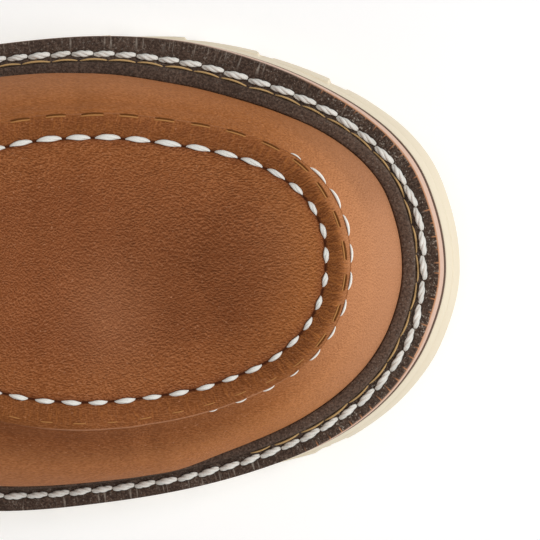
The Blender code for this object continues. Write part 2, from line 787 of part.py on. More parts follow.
def make_eyelets(home, material):
    """Turned rings: a flange on the eyestay and a barrel through it."""
    depth = WALL + QUARTER_STEP
    profile = (
        (EYELET_HOLE, -depth),
        (EYELET_BARREL, -depth),
        (EYELET_BARREL, EYELET_LIFT),
        (EYELET_FLANGE, EYELET_LIFT),
        (EYELET_FLANGE - 0.4, EYELET_LIFT + EYELET_RIM),
        (EYELET_HOLE + 0.4, EYELET_LIFT + EYELET_RIM),
    )
    for side, letter in ((MEDIAL, "m"), (LATERAL, "l")):
        for number, (point, normal) in enumerate(eyelet_spots(side), start=1):
            turned = bmesh.new()
            corners = [turned.verts.new((r * MM, 0.0, h * MM)) for r, h in profile]
            edges = [turned.edges.new(pair) for pair in zip(corners, corners[1:] + corners[:1])]
            bmesh.ops.spin(turned, geom=corners + edges, cent=(0.0, 0.0, 0.0), axis=(0.0, 0.0, 1.0),
                           angle=2.0 * math.pi, steps=8, use_merge=True)
            bmesh.ops.remove_doubles(turned, verts=turned.verts, dist=1e-6)
            bmesh.ops.recalc_face_normals(turned, faces=turned.faces)
            turn = Vector(normal).to_track_quat("Z", "Y").to_matrix().to_4x4()
            turned.transform(Matrix.Translation(Vector(point * MM)) @ turn)
            mesh = bpy.data.meshes.new(f"eyelet_{letter}{number}")
            turned.to_mesh(mesh)
            turned.free()
            add_object(f"eyelet_{letter}{number}", mesh, home, material)


def tongue_rows():
    """Rows across the tongue, from under the vamp up past the collar: outer face, then inner face."""
    under = np.linspace(float(station(112.0)), float(station(QUARTER_STATION)), 5)[:-1]
    above = np.concatenate([station(np.array([151.0, 153.5, 157.0])),
                            np.linspace(float(station(162.0)), float(station(200.0)), 9)])
    places = np.concatenate([under, above])
    rows = []
    open_up = ease(places, float(station(140.0)), float(station(157.0)))
    clear = TONGUE_SEAT + (TONGUE_CLEAR - TONGUE_SEAT) * open_up
    for depth in (WALL + clear, WALL + clear + TONGUE_THICK):
        across = []
        for side in (MEDIAL, LATERAL):
            strip = []
            for distance in (17.0, 11.0, 5.0, 0.5):
                narrow = 1.0 - 0.25 * ease(places, float(station(190.0)), float(station(200.0)))
                t = from_edge(places, side, distance * narrow)
                normal = upper_normal(places, side, t)
                strip.append(placed(upper_skin(places, side, t) - normal * depth[:, None]))
            across.append(np.array(strip))
        middle = (across[0][-1] + across[1][-1]) / 2.0
        across_all = [across[0][i] for i in range(4)] + [middle] + [across[1][i] for i in range(3, -1, -1)]
        rows.append(np.transpose(np.array(across_all), (1, 0, 2)))
    outer, inner = rows
    rise = outer[-1] - outer[-2]
    rise = rise / np.linalg.norm(rise, axis=-1, keepdims=True)
    top = np.array([-0.15, 0.0, 1.0]) * TONGUE_ABOVE + rise * 4.0
    outer = np.concatenate([outer, (outer[-1] + top)[None]])
    inner = np.concatenate([inner, (inner[-1] + top)[None]])
    return outer, inner


def make_tongue(home, material):
    """Padded strip that follows the inside of the vamp and eyestays and stands a little above the collar."""
    outer, inner = tongue_rows()
    rows = [np.concatenate([centred(a), centred(b)[::-1]]) for a, b in zip(outer, inner)]
    shell = Shell()
    shell.loft(rows, closed=True)
    for row in (rows[0], rows[-1]):
        half = len(row) // 2
        shell.loft((row[:half], row[:half - 1:-1]))
    return shell.build("tongue", home, material)


def lace_path(first_side):
    """Points of one half of the lace, from the lowest eyelet across and across to the top one."""
    places = throat_places(EYELETS)
    lift = EYELET_LIFT + EYELET_RIM + LACE_RADIUS + LACE_CLEAR
    over = lift + (0.5 if first_side > 0 else 0.0)
    path = []
    side = first_side
    for i, place in enumerate(places):
        path.append(lifted(np.array([place]), side, EYELET_FROM_EDGE, lift)[0][0])
        if i == len(places) - 1:
            break
        ahead = places[i + 1]
        for share, from_side in ((0.27, side), (0.73, -side)):
            at = np.array([place + (ahead - place) * share])
            path.append(lifted(at, from_side, 1.5, over)[0][0])
        middle = np.array([(place + ahead) / 2.0])
        both = [lifted(middle, s, 0.5, over + 1.2)[0][0] for s in (MEDIAL, LATERAL)]
        path.insert(-1, (both[0] + both[1]) / 2.0)
        side = -side
    return path


def make_cord(name, path, home, material):
    """Round cord along points, closed at its ends."""
    curve = bpy.data.curves.new(name, "CURVE")
    curve.dimensions = "3D"
    curve.bevel_depth = LACE_RADIUS * MM
    curve.bevel_resolution = 1
    curve.use_fill_caps = True
    spline = curve.splines.new("POLY")
    spline.points.add(len(path) - 1)
    for point, place in zip(spline.points, path):
        point.co = (*(np.asarray(place) * MM), 1.0)
    holder = bpy.data.objects.new(name + "_curve", curve)
    bpy.context.scene.collection.objects.link(holder)
    bpy.context.view_layer.update()
    graph = bpy.context.evaluated_depsgraph_get()
    mesh = bpy.data.meshes.new_from_object(holder.evaluated_get(graph))
    bpy.data.objects.remove(holder)
    body = bmesh.new()
    body.from_mesh(mesh)
    bmesh.ops.remove_doubles(body, verts=body.verts, dist=1e-6)
    bmesh.ops.triangulate(body, faces=body.faces)
    bmesh.ops.recalc_face_normals(body, faces=body.faces)
    body.to_mesh(mesh)
    body.free()
    return add_object(name, mesh, home, material)


def make_lace(home, tools, material):
    """Both halves of the lace and the bar at the lowest eyelets, joined to one solid."""
    one, other = lace_path(MEDIAL), lace_path(LATERAL)
    place = throat_places(EYELETS)[:1]
    lift = EYELET_LIFT + EYELET_RIM + LACE_RADIUS + LACE_CLEAR
    edges = [lifted(place, s, 1.0, lift)[0][0] for s in (MEDIAL, LATERAL)]
    middle = (edges[0] + edges[1]) / 2.0 + np.array([-0.3, 0.0, 1.6])
    bar = [other[0], edges[1], middle, edges[0]]
    lace = make_cord("lace", bar + one, home, material)
    second = make_cord("lace_second_half", other, tools, None)
    carve(lace, second, "UNION")
    return lace


def clear_scene():
    """Empties the scene."""
    for item in list(bpy.data.objects):
        bpy.data.objects.remove(item)


def new_collection(name):
    """Collection linked to the scene."""
    home = bpy.data.collections.new(name)
    bpy.context.scene.collection.children.link(home)
    return home


def make_boot():
    """Builds every piece of the boot."""
    global CENTRE
    clear_scene()
    home = new_collection("moc_toe_work_boot")
    tools = new_collection("cutters")
    CENTRE = find_centre()
    cream = finish("cream_rubber", (0.86, 0.79, 0.64), 0.6)
    dark = finish("dark_midsole", (0.035, 0.025, 0.02), 0.7)
    strip = finish("welt_leather", (0.075, 0.045, 0.03), 0.6)
    leather = finish("upper_leather", (0.24, 0.09, 0.035), 0.55)
    board = finish("insole_leather", (0.42, 0.27, 0.16), 0.7)
    brass = finish("eyelet_brass", (0.5, 0.36, 0.16), 0.35, 1.0)
    cord = finish("lace_cord", (0.16, 0.09, 0.05), 0.8)
    make_outsole(home, tools, cream)
    make_midsole(home, dark)
    make_welt(home, strip)
    make_insole(home, board)
    make_upper(home, tools, leather)
    make_tongue(home, leather)
    make_eyelets(home, brass)
    make_lace(home, tools, cord)


make_boot()
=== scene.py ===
"""Looks of a right moc toe work boot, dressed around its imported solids.

Sizes are in millimetres unless a name says otherwise; MM turns them into metres. The boot points along +X,
its inner (medial) side is +Y and the floor is Z = 0. "from_toe" is measured backwards from the welt's toe
tip, and a "place" runs along one side from 0 at the toe tip to 1 at the heel.
"""

import logging
import math
from dataclasses import dataclass, field
from enum import Enum
from typing import Any, Callable, Sequence

import bmesh
import bpy
import numpy as np
from mathutils import Matrix, Vector


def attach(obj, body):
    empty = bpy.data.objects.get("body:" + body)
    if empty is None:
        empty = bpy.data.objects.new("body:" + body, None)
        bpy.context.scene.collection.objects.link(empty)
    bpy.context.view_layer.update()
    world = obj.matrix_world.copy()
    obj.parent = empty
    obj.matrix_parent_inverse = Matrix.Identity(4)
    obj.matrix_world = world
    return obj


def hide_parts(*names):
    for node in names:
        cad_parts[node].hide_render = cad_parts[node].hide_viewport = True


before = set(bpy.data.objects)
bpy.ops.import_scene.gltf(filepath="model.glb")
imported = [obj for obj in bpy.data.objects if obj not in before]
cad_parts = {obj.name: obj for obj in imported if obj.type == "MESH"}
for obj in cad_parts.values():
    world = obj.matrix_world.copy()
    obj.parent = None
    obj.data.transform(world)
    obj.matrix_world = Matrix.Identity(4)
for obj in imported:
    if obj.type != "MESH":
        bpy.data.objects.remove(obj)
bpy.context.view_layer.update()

MM = 0.001
LOG = logging.getLogger("boot")
Array = np.ndarray
Colour = tuple[float, float, float]


class Side(Enum):
    """The two sides of the boot."""

    MEDIAL = 1
    LATERAL = -1


def flow(at: Any, xs: Any, ys: Any, steady: bool = False) -> Array:
    """Smooth curve through table values.

    Args:
        at: where the curve is read.
        xs: rising table places.
        ys: table values.
        steady: never overshoots and ends level.

    Returns:
        The curve's values.
    """
    at, xs, ys = (np.asarray(v, float) for v in (at, xs, ys))
    step = np.diff(xs)
    rise = np.diff(ys) / step
    slope = np.empty_like(ys)
    slope[1:-1] = (rise[:-1] * step[1:] + rise[1:] * step[:-1]) / (step[1:] + step[:-1])
    slope[0] = 2.0 * rise[0] - slope[1]
    slope[-1] = 2.0 * rise[-1] - slope[-2]
    if steady:
        limit = 2.5 * np.minimum(abs(rise[:-1]), abs(rise[1:]))
        same = rise[:-1] * rise[1:] > 0.0
        slope[1:-1] = np.where(same, np.clip(slope[1:-1], -limit, limit), 0.0)
        slope[0] = slope[-1] = 0.0
    at = np.clip(at, xs[0], xs[-1])
    i = np.clip(np.searchsorted(xs, at, side="right") - 1, 0, len(step) - 1)
    h = step[i]
    u = (at - xs[i]) / h
    start = ys[i] * (1.0 + 2.0 * u) * (1.0 - u) ** 2 + h * slope[i] * u * (1.0 - u) ** 2
    finish = ys[i + 1] * (3.0 - 2.0 * u) * u**2 + h * slope[i + 1] * u**2 * (u - 1.0)
    return start + finish


def ease(value: Any, start: Any, finish: Any) -> Array:
    """0 at start, 1 at finish, smooth between; start may be the larger."""
    u = np.clip((np.asarray(value, float) - start) / (finish - start), 0.0, 1.0)
    return u * u * (3.0 - 2.0 * u)


def unit(vectors: Array) -> Array:
    """Vectors brought to length one."""
    return vectors / np.maximum(np.linalg.norm(vectors, axis=-1, keepdims=True), 1e-12)


def lengths(points: Array) -> Array:
    """Running length along a row of points, starting at 0."""
    return np.concatenate([[0.0], np.cumsum(np.linalg.norm(np.diff(points, axis=0), axis=1))])


def uneven(u: Array, pitch: float, seed: float) -> Array:
    """Smooth wandering value between about -1 and 1.

    Args:
        u: distance in millimetres.
        pitch: usual length of a swell.
        seed: moves the pattern.

    Returns:
        The value at each distance.
    """
    turn = 2.0 * math.pi * np.asarray(u) / pitch
    waves = ((0.5, 1.0, 1.0), (0.3, 0.618, 2.1), (0.2, 1.732, 3.3))
    return sum(share * np.sin(turn * pace + shift * seed) for share, pace, shift in waves)


def read_at(where: Array, run: Array, rows: Array) -> Array:
    """Points or directions read between the marks that they are given at."""
    return np.stack([np.interp(where, run, rows[:, i]) for i in range(3)], axis=-1)


@dataclass
class BootForm:
    """The boot's shape: the same driving sizes and section tables as its solids."""

    gap: float = 0.3
    welt_length: float = 298.0
    ball_back: float = 80.0
    spring_radius: float = 300.0
    midsole_thick: float = 1.6
    welt_thick: float = 3.4
    rib_rise: float = 2.6
    flare_drop: float = 15.0
    wall: float = 2.4
    quarter_step: float = 1.4
    seam_tip: float = 24.1
    fan_back: float = 60.0
    quarter_station: float = 150.0
    heel_shift: float = 2.0
    lug_pitch: float = 18.0
    lug_step: float = 0.6
    lug_height: float = 6.5
    # from_toe, medial and lateral half width of the welt's outer edge
    welt_plan: tuple = (
        (0.0, 0.0, 0.0),
        (2.0, 13.2, 11.2),
        (6.0, 23.5, 20.8),
        (12.0, 31.5, 29.5),
        (20.0, 38.2, 37.0),
        (30.0, 44.2, 43.3),
        (45.0, 50.5, 49.3),
        (62.0, 54.9, 53.8),
        (80.0, 56.3, 56.8),
        (106.0, 54.4, 59.0),
        (140.0, 48.0, 56.0),
        (178.0, 43.4, 49.2),
        (215.0, 42.4, 42.6),
        (250.0, 41.6, 39.2),
        (275.0, 36.4, 33.4),
        (291.0, 23.5, 20.0),
        (298.0, 2.0, -2.0),
    )
    # from_toe, height of the outsole's top over the floor
    wedge: tuple = (
        (0.0, 11.0),
        (90.0, 11.0),
        (130.0, 13.6),
        (175.0, 19.6),
        (215.0, 25.2),
        (260.0, 30.4),
        (298.0, 32.5),
    )
    # from_toe, how far the outsole stands out past the welt's edge at the lugs, medial and lateral
    flare_plan: tuple = (
        (0.0, 4.9, 4.9),
        (4.0, 5.0, 4.7),
        (10.0, 4.5, 3.9),
        (18.0, 3.6, 2.9),
        (26.0, 2.8, 1.8),
        (34.0, 2.4, 0.6),
        (45.0, 1.9, -0.5),
        (60.0, 1.0, -0.7),
        (75.0, 0.0, -0.7),
        (90.0, -0.6, -0.7),
        (298.0, -0.6, -0.6),
    )
    # from_toe, set-in from the welt's edge of the rib's foot and the feather line, medial and lateral
    bands: tuple = (
        (0.0, 5.9, 9.3, 5.9, 9.3),
        (5.0, 5.6, 9.0, 5.4, 8.7),
        (15.0, 5.7, 9.1, 5.0, 8.4),
        (25.0, 6.0, 9.4, 5.0, 8.25),
        (35.0, 6.5, 10.1, 4.9, 8.2),
        (45.0, 7.0, 10.75, 4.8, 8.2),
        (62.0, 7.0, 11.05, 4.8, 8.2),
        (80.0, 6.4, 10.2, 4.9, 8.2),
        (110.0, 5.9, 9.4, 5.4, 8.8),
        (150.0, 5.9, 9.2, 5.9, 9.2),
        (298.0, 5.9, 9.2, 5.9, 9.2),
    )
    # distance behind the moc seam's tip, medial and lateral half width of its crest
    moc_seam: tuple = (
        (0.0, 0.0, 0.0),
        (1.5, 9.8, 9.0),
        (5.2, 17.6, 16.2),
        (11.0, 24.1, 22.2),
        (23.5, 30.4, 28.9),
        (41.5, 34.0, 34.2),
        (58.0, 35.4, 36.3),
        (75.0, 34.2, 35.3),
        (92.0, 30.0, 31.1),
        (112.0, 23.0, 24.2),
    )
    # station on the welt; top of the section (from_toe, half gap, height); pull up and out at the feather,
    # medial and lateral; pull out and down at the top
    sections: tuple = (
        (0.0, 60.0, 0.0, 50.0, 26.0, 2.0, 2.0, 38.0, 0.0),
        (12.0, 60.0, 0.0, 50.0, 26.0, 2.0, 2.0, 36.0, 0.0),
        (30.0, 60.0, 0.0, 50.0, 27.0, 2.0, 3.4, 33.0, 0.0),
        (50.0, 64.0, 0.0, 51.0, 30.0, 3.0, 7.6, 32.0, 0.0),
        (65.0, 74.0, 0.0, 53.8, 33.0, 3.5, 12.2, 33.0, 0.0),
        (80.0, 84.0, 0.0, 57.0, 36.0, 4.5, 11.4, 34.0, 0.0),
        (106.0, 97.0, 0.0, 62.5, 39.0, 6.5, 11.0, 32.0, 1.0),
        (130.0, 106.0, 0.0, 67.5, 41.0, 6.5, 10.0, 29.0, 1.5),
        (150.0, 112.0, 0.0, 71.0, 42.0, 6.0, 9.0, 26.0, 2.0),
        (156.0, 118.0, 9.0, 76.0, 44.0, 7.0, 9.0, 22.0, 5.0),
        (170.0, 140.0, 12.5, 97.5, 52.0, 8.0, 10.0, 22.0, 12.0),
        (184.0, 158.0, 13.0, 130.0, 60.0, 9.0, 10.0, 22.0, 22.0),
        (196.0, 167.0, 14.0, 166.0, 66.0, 9.0, 10.0, 21.0, 34.0),
        (203.0, 169.5, 16.0, 187.0, 66.0, 9.0, 9.0, 18.0, 44.0),
        (209.0, 178.0, 27.0, 190.5, 62.0, 9.0, 9.0, 8.0, 54.0),
        (222.0, 205.0, 39.5, 189.5, 56.0, 9.0, 9.0, -5.0, 62.0),
        (246.0, 238.0, 41.0, 190.0, 52.0, 9.5, 9.5, -8.5, 64.0),
        (272.0, 265.0, 31.0, 192.5, 48.0, 9.5, 9.5, -9.0, 64.0),
        (298.0, 284.0, 0.0, 195.0, 44.0, 10.0, 10.0, -9.5, 62.0),
    )
    centre: Array = field(default_factory=lambda: np.zeros(3))

    def __post_init__(self) -> None:
        """Works out the front of the quarters and the middle of the sole's box."""
        self.front = float(self.station(self.quarter_station))
        low, high = self.sole_box()
        self.centre = np.array([(low[0] + high[0]) / 2.0, (low[1] + high[1]) / 2.0, 0.0])

    def station(self, from_toe: Any) -> Array:
        """Place along a side for a distance behind the toe tip."""
        share = 1.0 - 2.0 * np.asarray(from_toe, float) / self.welt_length
        return np.arccos(np.clip(share, -1.0, 1.0)) / math.pi

    def from_toe(self, place: Any) -> Array:
        """Distance behind the welt's toe tip at a place."""
        return self.welt_length * (1.0 - np.cos(math.pi * np.asarray(place))) / 2.0

    def between(self, place: Any, first: float, last: float) -> Array:
        """0 at the first distance behind the toe tip, 1 at the last, smooth between."""
        return ease(place, float(self.station(first)), float(self.station(last)))

    def side_value(self, table: tuple, place: Any, side: Side, column: int = 0, steady: bool = True) -> Array:
        """A table's value along one side.

        Args:
            table: from_toe, the medial columns and then the lateral ones.
            place: places along the side.
            side: which side.
            column: which of the side's columns.
            steady: never overshoots and ends level.

        Returns:
            The value at each place.
        """
        rows = np.array(table)
        first = 1 if side is Side.MEDIAL else 1 + rows.shape[1] // 2
        return flow(place, self.station(rows[:, 0]), rows[:, first + column], steady)

    def welt_edge(self, place: Any, side: Side) -> Array:
        """Plan point on the welt's outer edge."""
        half = self.side_value(self.welt_plan, place, side, steady=False)
        return np.stack([-self.from_toe(place), side.value * half], axis=-1)

    def plan_out(self, place: Any, side: Side) -> Array:
        """Unit vector in plan, out of the boot, square to the welt's edge.

        Args:
            place: places along the side.
            side: which side.

        Returns:
            One vector for each place.
        """
        place = np.asarray(place, float)
        before = self.welt_edge(np.clip(place - 1e-4, 0.0, 1.0), side)
        after = self.welt_edge(np.clip(place + 1e-4, 0.0, 1.0), side)
        run = unit(after - before)
        out = np.stack([side.value * run[..., 1], -side.value * run[..., 0]], axis=-1)
        tip = np.stack([np.where(place < 0.5, 1.0, -1.0), np.zeros_like(place)], axis=-1)
        at_tip = (place < 1e-6) | (place > 1.0 - 1e-6)
        return np.where(at_tip[..., None], tip, out)

    def band(self, place: Any, side: Side, column: int) -> Array:
        """Set-in of the rib's foot (column 0) or the feather line (column 1) from the welt's edge."""
        return self.side_value(self.bands, place, side, column)

    def flare(self, place: Any, side: Side) -> Array:
        """How far the outsole stands out past the welt's edge at the lugs."""
        return self.side_value(self.flare_plan, place, side)

    def inset(self, place: Any, side: Side, depth: Any) -> Array:
        """Plan point set in from the welt's edge."""
        return self.welt_edge(place, side) - self.plan_out(place, side) * np.asarray(depth)[..., None]

    def wedge_top(self, x: Any) -> Array:
        """Height of the outsole's top over the flat floor."""
        rows = np.array(self.wedge)
        return flow(-np.asarray(x), rows[:, 0], rows[:, 1], steady=True)

    def upper_bottom(self, x: Any) -> Array:
        """Height at which upper, welt and insole stand on the midsole."""
        return self.wedge_top(x) + self.midsole_thick + 2.0 * self.gap

    def spring_angle(self, x: Any) -> Array:
        """Slope of the forepart where it curves up to the toe."""
        return np.maximum(np.asarray(x) + self.ball_back, 0.0) / self.spring_radius

    def placed(self, points: Any) -> Array:
        """Flat points lifted by the toe spring and moved into the boot's own frame, still in millimetres."""
        points = np.asarray(points, float)
        x, y, z = points[..., 0], points[..., 1], points[..., 2]
        lift = self.spring_radius * (1.0 - np.cos(self.spring_angle(x)))
        return np.stack([x, y, z + lift], axis=-1) - self.centre

    def lug_swell(self, places: Array, side: Side) -> Array:
        """How far each side lug stands out: widest at its front end, running back to nothing."""
        run = lengths(self.welt_edge(places, side))
        strength = ease(run, 40.0, 50.0) * (1.0 - ease(run, 292.0, 312.0))
        return self.lug_step * (1.0 - (run / self.lug_pitch) % 1.0) * strength

    def lug_places(self, count: int) -> Array:
        """Places along a side with a pair just before and after each lug's step."""
        fine = np.linspace(0.0, 1.0, 4001)
        run = lengths(self.welt_edge(fine, Side.MEDIAL))
        steps = np.arange(3, int(312.0 / self.lug_pitch)) * self.lug_pitch
        paired = np.interp(np.concatenate([steps - 0.15, steps + 0.45]), run, fine)
        return np.unique(np.concatenate([np.linspace(0.0, 1.0, count), paired]))

    def leaned(self, places: Array, side: Side, depth: Any, height_of: Callable) -> Array:
        """Points along one side; below the welt's top the outer layers lean out as far as the flare asks for.

        Args:
            places: places along the side.
            side: which side.
            depth: inset from the welt's edge.
            height_of: height over the flat floor, by x.

        Returns:
            Points in the boot's frame.
        """
        depth = np.broadcast_to(np.asarray(depth, float), places.shape)
        plan = self.inset(places, side, depth)
        height = np.asarray(height_of(plan[:, 0]), float)
        welt_top = self.upper_bottom(plan[:, 0]) + self.welt_thick
        drop = np.clip((welt_top - height) / self.flare_drop, 0.0, 1.1)
        lean = self.flare(places, side) * drop * np.clip(1.0 - depth / 5.0, 0.0, 1.0)
        plan = self.inset(places, side, depth - lean)
        return self.placed(np.concatenate([plan, height[:, None]], axis=1))

    def ring(self, places: Array, depth_of: Callable, height_of: Callable) -> Array:
        """Closed ring round the boot: medial side from toe to heel, lateral side back to the toe.

        Args:
            places: places along a side.
            depth_of: inset from the welt's edge, by places and side.
            height_of: height over the flat floor, by x.

        Returns:
            The ring's points.
        """
        sides = [self.leaned(places, side, depth_of(places, side), height_of) for side in Side]
        return np.concatenate([sides[0], sides[1][-2:0:-1]])

    def sole_box(self) -> tuple[Array, Array]:
        """Lowest and highest corner of outsole and welt, at the solids' own spacing."""
        lugs, edge = self.lug_places(30), np.linspace(0.0, 1.0, 37)
        rings = []
        for depth, height in ((0.9, 0.0), (0.0, 1.0), (0.0, self.lug_height - 0.4)):
            rings.append(self.ring(lugs, lambda p, s, d=depth: d - self.lug_swell(p, s),
                                   lambda x, z=height: np.full(np.shape(x), z)))
        for rise in (0.0, self.welt_thick - 0.5):
            rings.append(self.ring(edge, lambda p, s: np.zeros(np.shape(p)),
                                   lambda x, r=rise: self.upper_bottom(x) + r))
        points = np.concatenate(rings)
        return points.min(axis=0), points.max(axis=0)

    def handles(self, place: Array, side: Side) -> tuple[Array, Array, Array, Array]:
        """The four points that draw each section of the upper, from feather to top.

        Args:
            place: places along the side.
            side: which side.

        Returns:
            Four arrays of points, one point for each place.
        """
        place = np.asarray(place, float)
        rows = np.array(self.sections)
        at = self.station(rows[:, 0])
        closed = place <= self.front + 1e-9
        columns = [flow(place, at, rows[:, c], steady=True) for c in range(1, rows.shape[1])]
        back, _, height, low_up, low_m, low_l, high_out, high_down = columns
        half = np.where(closed, 0.0, np.maximum(flow(place, at, rows[:, 2]), 0.0))
        back = np.maximum(back, self.fan_back)
        feather = self.inset(place, side, self.band(place, side, 1))
        out = self.plan_out(place, side)
        axis = np.where(closed, 0.0, self.heel_shift * back / self.welt_length)
        low_out = low_m if side is Side.MEDIAL else low_l
        flat_out = np.concatenate([out, np.zeros_like(out[..., :1])], axis=-1)
        up = np.array([0.0, 0.0, 1.0])
        p0 = np.stack([feather[..., 0], feather[..., 1], self.upper_bottom(feather[..., 0])], axis=-1)
        p3 = np.stack([-back, axis + side.value * half, height], axis=-1)
        p1 = p0 + up * low_up[..., None] + flat_out * low_out[..., None]
        p2 = p3 - up * high_down[..., None] + flat_out * high_out[..., None]
        return p0, p1, p2, p3

    def skin(self, place: Any, side: Side, t: Any) -> Array:
        """Point on the upper's smooth skin: t is 0 at the feather and 1 at the top of the section."""
        p0, p1, p2, p3 = self.handles(place, side)
        t = np.asarray(t, float)[..., None]
        return p0 * (1 - t) ** 3 + 3 * p1 * t * (1 - t) ** 2 + 3 * p2 * t**2 * (1 - t) + p3 * t**3

    def normal(self, place: Any, side: Side, t: Any) -> Array:
        """Unit vector out of the upper's skin.

        Args:
            place: places along the side.
            side: which side.
            t: places up the sections; rows of them are taken over the same places.

        Returns:
            One vector for each point; level at the feather, upright along the closed spine.
        """
        t = np.asarray(t, float)
        place = np.broadcast_to(np.asarray(place, float), t.shape)
        closed = place <= self.front + 1e-9
        d = 1e-3
        under = np.minimum(t, 0.985)
        low = np.where(closed, 0.0, self.front + d)
        before = np.clip(place - d, low, np.where(closed, self.front - d, 1.0 - d))
        along = self.skin(before + d, side, under) - self.skin(before, side, under)
        across = self.skin(place, side, under + d) - self.skin(place, side, np.maximum(under - d, 0.0))
        normal = unit(np.cross(along, across) * side.value)
        ones = np.ones_like(t)
        ridge = self.skin(before + d, side, ones) - self.skin(before, side, ones)
        upright = unit(np.stack([ridge[..., 2], np.zeros_like(t), -ridge[..., 0] + 1e-9], axis=-1))
        normal = np.where((closed & (t > 0.999))[..., None], upright, normal)
        level = normal.copy()
        level[..., 2] *= ease(t, 0.0, 0.12)
        return unit(level)

    def raised(self, place: Array, side: Side, t: Array, rise: Any) -> tuple[Array, Array]:
        """Points at a height over the upper's skin, in the boot's frame, and the directions out of it."""
        normal = self.normal(place, side, t)
        return self.placed(self.skin(place, side, t) + normal * rise), normal

    def seam_half(self, x: Array, side: Side) -> Array:
        """Half width of the moc seam's crest, negative ahead of its tip."""
        rows = np.array(self.moc_seam)
        behind = -np.asarray(x) - self.seam_tip
        column = rows[:, 1 if side is Side.MEDIAL else 2]
        half = flow(np.sqrt(np.maximum(behind, 0.0)), np.sqrt(rows[:, 0]), column)
        return np.where(behind > 0.0, half, behind)

    def seam_place(self, place: Array, side: Side) -> Array:
        """Where the moc seam's crest crosses each section of the vamp."""
        place = np.asarray(place, float)
        low, high = np.zeros_like(place), np.ones_like(place)
        for _ in range(30):
            middle = (low + high) / 2.0
            point = self.skin(place, side, middle)
            inside = side.value * point[..., 1] < self.seam_half(point[..., 0], side)
            low, high = np.where(inside, low, middle), np.where(inside, middle, high)
        return (low + high) / 2.0

    def speed(self, place: Array, side: Side, t: Any) -> Array:
        """Millimetres of section per unit of t."""
        step = 1e-3
        ahead = self.skin(place, side, np.minimum(np.asarray(t) + step, 1.0))
        behind = self.skin(place, side, np.maximum(np.asarray(t) - step, 0.0))
        return np.linalg.norm(ahead - behind, axis=-1) / (2.0 * step)

    def from_top(self, place: Array, side: Side, distance: Any) -> Array:
        """Places up the sections at a distance down from their top edge."""
        t = np.ones_like(place)
        for _ in range(6):
            t = 1.0 - distance / self.speed(place, side, (1.0 + t) / 2.0)
        return t

    def throat_places(self, count: int) -> Array:
        """Places whose tops are evenly spaced along the eyestay edge, from throat to collar."""
        fine = np.linspace(float(self.station(154.0)), float(self.station(201.0)), 400)
        run = lengths(self.skin(fine, Side.MEDIAL, np.ones_like(fine)))
        return np.interp(np.linspace(0.09, 0.975, count) * run[-1], run, fine)

    def bulge(self, places: Array, side: Side, rise: float) -> Array:
        """How far the upper stands out over its feather line at a height above its bottom edge."""
        t = np.linspace(0.0, 0.4, 81)[:, None]
        skin = self.skin(places, side, np.broadcast_to(t, (81, len(places))))
        feather = self.inset(places, side, self.band(places, side, 1))
        out = self.plan_out(places, side)
        ahead = ((skin[..., :2] - feather) * out).sum(axis=-1)
        up = skin[..., 2] - skin[0, :, 2]
        return np.array([np.interp(rise, up[:, i], ahead[:, i]) for i in range(len(places))])

    def quarter_room(self, places: Array) -> Array:
        """How far the welt's rib moves out to make room for the quarters."""
        start = self.quarter_station - 16.0
        return self.quarter_step * self.between(places, start, start + 9.0)


class Wire:
    """A shader socket that does maths: an expression on values adds Math nodes."""

    def __init__(self, bench: "Bench", socket: bpy.types.NodeSocket) -> None:
        """Keeps the socket and the bench it belongs to."""
        self.bench = bench
        self.socket = socket

    def math(self, operation: str, *values: Any) -> "Wire":
        """Adds one Math node on these values."""
        return self.bench.wire("ShaderNodeMath", {"operation": operation}, dict(enumerate(values)))

    def __add__(self, other: Any) -> "Wire":
        """This plus other."""
        return self.math("ADD", self, other)

    def __sub__(self, other: Any) -> "Wire":
        """This minus other."""
        return self.math("SUBTRACT", self, other)

    def __mul__(self, other: Any) -> "Wire":
        """This times other."""
        return self.math("MULTIPLY", self, other)

    def __radd__(self, other: Any) -> "Wire":
        """Other plus this."""
        return self.math("ADD", other, self)

    def __rsub__(self, other: Any) -> "Wire":
        """Other minus this."""
        return self.math("SUBTRACT", other, self)

    def __rmul__(self, other: Any) -> "Wire":
        """Other times this."""
        return self.math("MULTIPLY", other, self)

    def __abs__(self) -> "Wire":
        """The size of this without its sign."""
        return self.math("ABSOLUTE", self)

    def limited(self) -> "Wire":
        """This kept between 0 and 1."""
        return self.bench.wire("ShaderNodeClamp", {}, {"Value": self})


